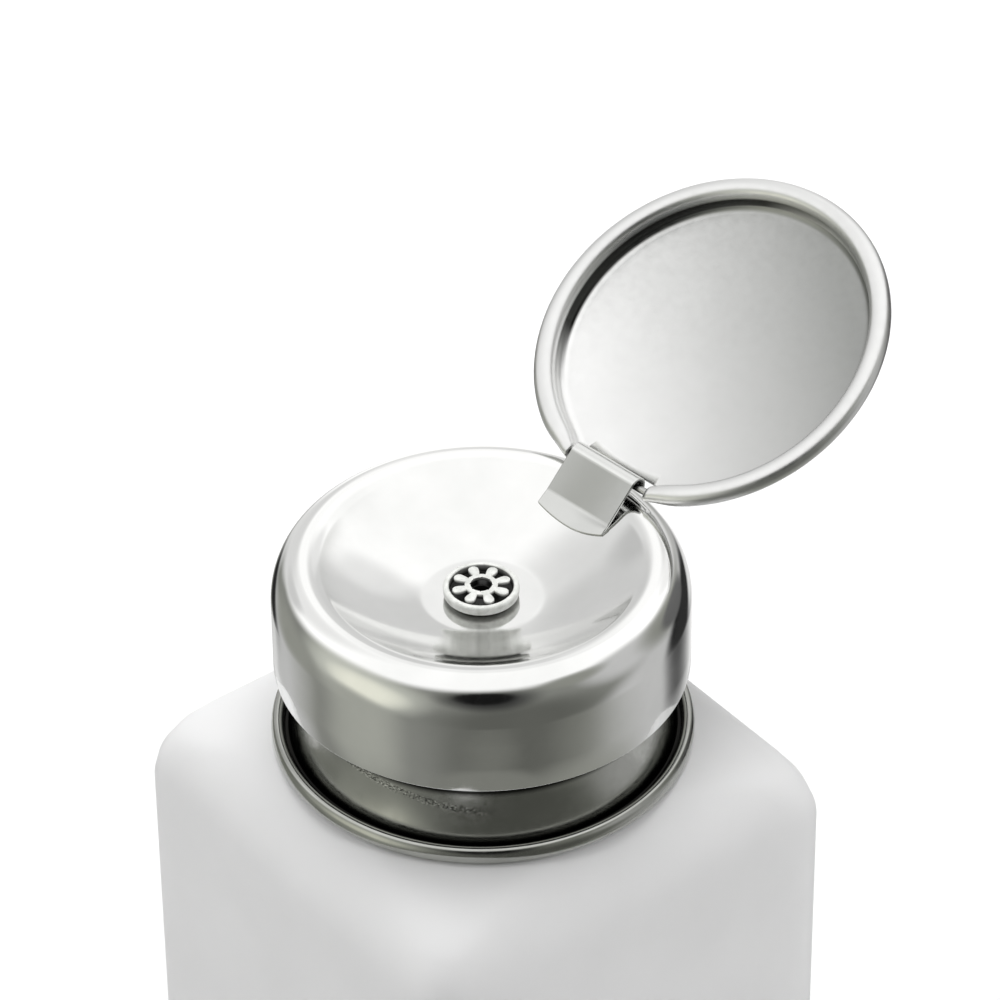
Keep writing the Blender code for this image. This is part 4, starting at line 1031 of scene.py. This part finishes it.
def remap(tree, source, low, high, from_low=0.3, from_high=0.7):
    """A value moved from one range to another."""
    feeds = {"Value": source, "From Min": from_low, "From Max": from_high, "To Min": low, "To Max": high}
    return added(tree, "ShaderNodeMapRange", feeds).outputs["Result"]


def product(tree, first, second):
    """Two values multiplied."""
    return added(tree, "ShaderNodeMath", {0: first, 1: second}, operation="MULTIPLY").outputs[0]


def tinted(tree, share, first, second):
    """A colour between two colours, of which the first may be another node's."""
    if not isinstance(first, bpy.types.NodeSocket):
        first = (*first, 1)
    feeds = {"Factor": share, "A": first, "B": (*second, 1)}
    return added(tree, "ShaderNodeMix", feeds, data_type="RGBA").outputs["Result"]


def with_scuff_or_painted_light(tree, clean, attribute, scuff_or_light, grain):
    """Scuffs, or painted light or shade, over a clean colour where the piece's attribute says so, in specks
    if it has a grain.
    """
    share = added(tree, "ShaderNodeAttribute", {}, attribute_name=attribute).outputs["Fac"]
    if grain:
        specks = noise(tree, grain, (1, 1, 1.6), Detail=3, Roughness=0.6)
        share = product(tree, share, remap(tree, specks, 0, 1, 0.5, 0.6))
    return tinted(tree, share, clean, scuff_or_light)


def steel(name, light, dark, polish, ripple, scuffs_and_painted_light=(), grain=900, clouds=120, metal=1):
    """Stainless sheet: faint cloudy colour, uneven polish, and the slight ripple of pressed metal.

    Polish is the roughness of its smoothest and roughest places. Metal under 1 is a blasted or worn skin,
    which also scatters light.
    """
    material, shader, tree = new_finish(name)
    fine = noise(tree, grain, Detail=4, Roughness=0.6)
    wave = noise(tree, 90, Detail=1, Roughness=0.4)
    cloud = noise(tree, clouds, Detail=3, Roughness=0.55)
    colour = tinted(tree, remap(tree, cloud, 0, 1), light, dark)
    # Painted shade in corners and under parts first, then the given scuffs and painted light or shade
    for scuff_or_light in (PAINTED_SHADE, *scuffs_and_painted_light):
        colour = with_scuff_or_painted_light(tree, colour, *scuff_or_light)
    swell = added(tree, "ShaderNodeBump", {"Height": wave, "Strength": 1, "Distance": ripple})
    feeds = {"Height": fine, "Strength": 1, "Distance": ripple / 40, "Normal": swell.outputs["Normal"]}
    hair = added(tree, "ShaderNodeBump", feeds)
    feeds = {
        "Base Color": colour,
        "Metallic": metal,
        "Roughness": remap(tree, fine, *polish),
        "Normal": hair.outputs["Normal"],
    }
    feed(tree, shader, feeds)
    return material


def moulded(name, light, dark, polish, grain, depth, through=0.0):
    """Moulded plastic or rubber: faint cloudy colour and a fine grain; light may seep through it."""
    material, shader, tree = new_finish(name)
    fine = noise(tree, grain, Detail=3, Roughness=0.6)
    cloud = noise(tree, 60, Detail=2, Roughness=0.5)
    bump = added(tree, "ShaderNodeBump", {"Height": fine, "Strength": 0.5, "Distance": depth})
    feeds = {
        "Base Color": tinted(tree, remap(tree, cloud, 0, 1), light, dark),
        "Roughness": remap(tree, fine, *polish),
        "Normal": bump.outputs["Normal"],
    }
    if through:
        feeds["Subsurface Weight"] = through
        feeds["Subsurface Radius"] = (1, 0.95, 0.9)
        feeds["Subsurface Scale"] = 1.5 * MM
    feed(tree, shader, feeds)
    return material


# Scuffs and painted light or shade: the attribute that says where, the colour, and the grain of its specks, 0
# for none
# Painted shade, near black, in corners, recesses and under parts, on every steel
PAINTED_SHADE = ("crevice", (0.012, 0.012, 0.011), 0)
# Painted highlight, near white, round the cup's crest
PAINTED_HIGHLIGHT = [("buffed", (0.99, 0.99, 0.98), 0)]
SCUFFS = [("scuff", (0.85, 0.85, 0.82), 3200), ("scuff", (0.05, 0.05, 0.045), 4100)]
# Painted shade on the lid's inner disc, standing in for its dimmer reflection
LID_PAINTED_REFLECTION = [("film", (0.365, 0.37, 0.36), 0)]
# Painted shade on the clip's plate, standing in for its darker reflection
CLIP_PAINTED_REFLECTION = [("film", (0.46, 0.465, 0.45), 0)]

FINISHES = {
    "bottle_plastic": moulded(
        "satin_white_plastic", (0.86, 0.86, 0.86), (0.82, 0.82, 0.82), (0.4, 0.5), 1500, 0.02 * MM, 0.1
    ),
    "cup_steel": steel(
        "polished_cup_steel", (0.9, 0.9, 0.892), (0.83, 0.833, 0.823), (0.06, 0.12), 0.05 * MM, PAINTED_HIGHLIGHT
    ),
    "collar_steel": steel(
        "scuffed_collar_steel", (0.52, 0.525, 0.5), (0.42, 0.425, 0.4), (0.13, 0.24), 0.03 * MM, SCUFFS
    ),
    "lid_steel": steel(
        "satin_lid_steel", (0.96, 0.96, 0.955), (0.92, 0.92, 0.915), (0.3, 0.42), 0.02 * MM, LID_PAINTED_REFLECTION
    ),
    "clip_steel": steel(
        "satin_clip_steel", (0.84, 0.845, 0.83), (0.77, 0.775, 0.76), (0.16, 0.24), 0.01 * MM, CLIP_PAINTED_REFLECTION
    ),
    "nozzle_steel": steel(
        "turned_nozzle_steel", (0.88, 0.89, 0.86), (0.66, 0.67, 0.64), (0.25, 0.45), 0.01 * MM,
        grain=4000, clouds=1100, metal=0.15
    ),
    "wire_steel": steel("drawn_wire_steel", (0.62, 0.62, 0.61), (0.5, 0.5, 0.49), (0.2, 0.35), 0.004 * MM),
    "cap_plastic": moulded(
        "grey_cap_plastic", (0.3, 0.31, 0.32), (0.24, 0.25, 0.26), (0.45, 0.6), 1800, 0.02 * MM
    ),
    "pump_plastic": moulded(
        "natural_pump_plastic", (0.78, 0.8, 0.8), (0.7, 0.72, 0.72), (0.35, 0.5), 1600, 0.01 * MM, 0.1
    ),
    "seal_rubber": moulded(
        "black_seal_rubber", (0.04, 0.04, 0.04), (0.02, 0.02, 0.02), (0.6, 0.8), 2200, 0.02 * MM
    ),
}


# Assembly


def coat(item, slot):
    """Gives a piece the finish of a slot."""
    item.data.materials.clear()
    item.data.materials.append(FINISHES[slot])


def dress(item, node, body, slot):
    """A fine piece takes the place of its plain solid and moves with its body."""
    coat(item, slot)
    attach(item, body)
    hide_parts(node)
    return item


dress(make_bottle(), "bottle", "bottle", "bottle_plastic")
dress(make_collar(), "collar_shell", "closure", "collar_steel")
dress(make_cup(), "dish_cup", "head", "cup_steel")
dress(make_nozzle_ring(), "nozzle_ring", "head", "nozzle_steel")
dress(make_star(FINISHES["nozzle_steel"]), "star_insert", "head", "nozzle_steel")
dress(make_clip(), "hinge_clip", "head", "clip_steel")
dress(make_lid(), "lid", "lid", "lid_steel")
dress(make_lid_wire(FINISHES["wire_steel"]), "lid_wire", "lid", "wire_steel")

coil = dress(make_coil(FINISHES["wire_steel"]), "return_spring", "pump", "wire_steel")
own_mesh(coil)

# The inner pieces keep their solids, with a finish
slot_of = {row["node"]: row["material_slot"] for row in frame["record"]["subparts"]}
for name, node in frame["nodes"].items():
    if not node.hide_render:
        coat(node, slot_of[name])


# Studio


def make_camera():
    """The photograph's view: a long lens from the front right, looking down."""
    away = FOCAL_PIXELS / PIXELS_PER_MM * MM
    side = Vector((1, 0, 0))
    forward = Vector((0, cos(CAMERA_TILT), -sin(CAMERA_TILT)))
    up = Vector((0, sin(CAMERA_TILT), cos(CAMERA_TILT)))
    right = cos(CAMERA_ROLL) * side + sin(CAMERA_ROLL) * up
    top = cos(CAMERA_ROLL) * up - sin(CAMERA_ROLL) * side
    off_right = (AIM[0] - PHOTO_SIDE / 2) / FOCAL_PIXELS * away
    off_top = (PHOTO_SIDE / 2 - AIM[1]) / FOCAL_PIXELS * away
    spot = -(right * off_right + top * off_top + forward * away)
    turn = Matrix.Rotation(CAMERA_TURN, 3, "Z")
    view = Matrix((turn @ right, turn @ top, turn @ -forward)).transposed().to_4x4()
    view.translation = turn @ spot + Vector((0, 0, AIM_HEIGHT))
    data = bpy.data.cameras.new("studio_camera")
    data.lens = FOCAL_PIXELS * SENSOR_WIDTH / PHOTO_SIDE
    data.sensor_width = SENSOR_WIDTH
    data.clip_start = 0.01
    camera = set_out("studio_camera", data)
    camera.matrix_world = view
    bpy.context.scene.camera = camera


def make_softbox(name, spot, size, power):
    """A square soft light that looks at the bottle's head."""
    data = bpy.data.lights.new(name, "AREA")
    data.shape = "SQUARE"
    data.size = size
    data.energy = power
    lamp = set_out(name, data)
    lamp.location = spot
    lamp.rotation_euler = (Vector((0, 0, AIM_HEIGHT)) - Vector(spot)).to_track_quat("-Z", "Y").to_euler()
    lamp.visible_glossy = False


def make_floor():
    """A wide white floor, which keeps the bottle's shadow and glows to the camera further out."""
    shape = bmesh.new()
    bmesh.ops.create_grid(shape, x_segments=4, y_segments=4, size=4)
    floor = piece_from("white_floor", shape)
    material, shader, tree = new_finish("white_floor_paint")
    where = added(tree, "ShaderNodeTexCoord", {})
    span = added(tree, "ShaderNodeVectorMath", {0: where.outputs["Object"]}, operation="LENGTH")
    glow = remap(tree, span.outputs["Value"], *FLOOR_GLOW, *GLOW_REACH)
    rays = added(tree, "ShaderNodeLightPath", {})
    feeds = {
        "Base Color": tinted(tree, noise(tree, 3, Detail=2), (0.8, 0.8, 0.8), (0.78, 0.78, 0.78)),
        "Roughness": 0.9,
        "Emission Color": (1, 1, 1, 1),
        "Emission Strength": product(tree, rays.outputs["Is Camera Ray"], glow),
    }
    feed(tree, shader, feeds)
    floor.data.materials.append(material)
    floor.visible_glossy = False


EVEN_LIGHT = 0.47
CLEAR = (1, 1, 0.995)
WARM = (1, 1, 0.87)
OLIVE = (0.98, 1, 0.9)
STUDIO_BASE = (0.235, 0.24, 0.22)

# What polished steel sees round the studio: azimuth, elevation, reach, softness, brightness and tint
STUDIO = (
    ("white_tent", -165, 69, 61, 21, 1.13, CLEAR),
    ("back_floor", -159, -62, 24, 5, 0.77, CLEAR),
    ("left_floor", -131, -33, 12, 24, 0.54, CLEAR),
    ("left_room", -64, 5, 28, 36, 0.61, OLIVE),
    ("left_window", -60, -1, 14, 28, 0.89, WARM),
    ("left_top", -140, 36, 17, 26, 0.8, CLEAR),
    ("back_left_card", -153, 13, 18, 14, 0.67, CLEAR),
    ("back_card", 165, 18, 19, 17, 0.7, CLEAR),
    ("back_right_card", 148, 31, 6, 13, 0.88, CLEAR),
    ("left_shade", -114, -20, 12, 30, 0.31, OLIVE),
    ("left_low_shade", -70, -34, 13, 26, 0.39, OLIVE),
    ("left_back_low", -162, -11, 7, 27, 0.72, CLEAR),
    ("right_room", 84, 20, 24, 24, 0.56, CLEAR),
    ("right_floor", 120, -32, 41, 26, 0.54, CLEAR),
    ("right_shade", 113, 11, 14, 30, 0.26, OLIVE),
    ("right_flag", 131, -20, 18, 10, 0.01, CLEAR),
    ("right_low_flag", 136, -24, 17, 14, 0.03, CLEAR),
    ("right_top_flag", 121, 3, 14, 7, 0.13, CLEAR),
    ("back_low_card", 174, -30, 10, 18, 0.99, CLEAR),
    ("back_white_card", -179, -8, 12, 15, 1.08, CLEAR),
    ("left_flag", -149, -28, 9, 7, 0.02, CLEAR),
    ("front_grey", 54, 38, 9, 22, 0.29, OLIVE),
    ("front_shade", 19, -25, 33, 36, 0.12, OLIVE),
    ("front_floor", 67, -62, 16, 31, 0.28, OLIVE),
    ("right_back_strip", 152, -27, 5, 12, 0.8, CLEAR),
    ("left_dish_card", -132, 22, 9, 10, 0.58, CLEAR),
    ("back_high_card", -178, 39, 8, 9, 1.0, CLEAR),
    ("near_floor", 3, -62, 22, 6, 0.215, OLIVE),
    ("dark_lens", 3, 24, 15, 31, 0.03, CLEAR),
    ("lens_core", 1, 29, 14, 7, 0.008, CLEAR),
)


def around(azimuth, elevation):
    """A direction, by its angle to the right of the camera's side of the bottle and its height."""
    turn, rise = radians(azimuth), radians(elevation)
    level = TOWARDS_CAMERA * cos(turn) + RIGHT_OF_CAMERA * sin(turn)
    return level * cos(rise) + Vector((0, 0, sin(rise)))


def studio_colour(tree):
    """The colour of the studio in each direction, one soft round patch laid over another."""
    where = added(tree, "ShaderNodeTexCoord", {})
    seen = STUDIO_BASE
    for name, azimuth, elevation, reach, soft, bright, tint in STUDIO:
        feeds = {0: where.outputs["Generated"], 1: around(azimuth, elevation)}
        near = added(tree, "ShaderNodeVectorMath", feeds, name=name, operation="DOT_PRODUCT")
        feeds = {
            "Value": near.outputs["Value"],
            "From Min": cos(radians(reach + soft / 2)),
            "From Max": cos(radians(max(reach - soft / 2, 0))),
        }
        inside = added(tree, "ShaderNodeMapRange", feeds, interpolation_type="SMOOTHSTEP")
        seen = tinted(tree, inside.outputs["Result"], seen, [bright * part for part in tint])
    return seen


def split_by(tree, ray, others, chosen):
    """One light for a kind of ray, and another for all others."""
    feeds = {0: ray, 1: others.outputs[0], 2: chosen.outputs[0]}
    return added(tree, "ShaderNodeMixShader", feeds)


def make_world():
    """White to the camera, even light for the plastic, and a tent with flags for the steel to reflect."""
    world = bpy.data.worlds.new("studio")
    world.use_nodes = True
    tree = world.node_tree
    mirrored = feed(tree, tree.nodes["Background"], {"Color": studio_colour(tree)})
    even = added(tree, "ShaderNodeBackground", {"Color": (1, 1, 1, 1), "Strength": EVEN_LIGHT})
    white = added(tree, "ShaderNodeBackground", {"Color": (1, 1, 1, 1), "Strength": 1})
    rays = added(tree, "ShaderNodeLightPath", {})
    lit = split_by(tree, rays.outputs["Is Glossy Ray"], even, mirrored)
    shown = split_by(tree, rays.outputs["Is Camera Ray"], lit, white)
    feed(tree, tree.nodes["World Output"], {"Surface": shown.outputs[0]})
    bpy.context.scene.world = world


make_camera()
make_softbox("top_softbox", (-0.3, 0.2, 1.3), 1.0, 12)
make_softbox("left_softbox", (-0.5, -0.9, 0.5), 0.8, 1.9)
make_softbox("right_softbox", (0.6, 0.8, 0.5), 0.8, 2.3)
make_floor()
make_world()
bpy.context.scene.view_settings.view_transform = "Standard"
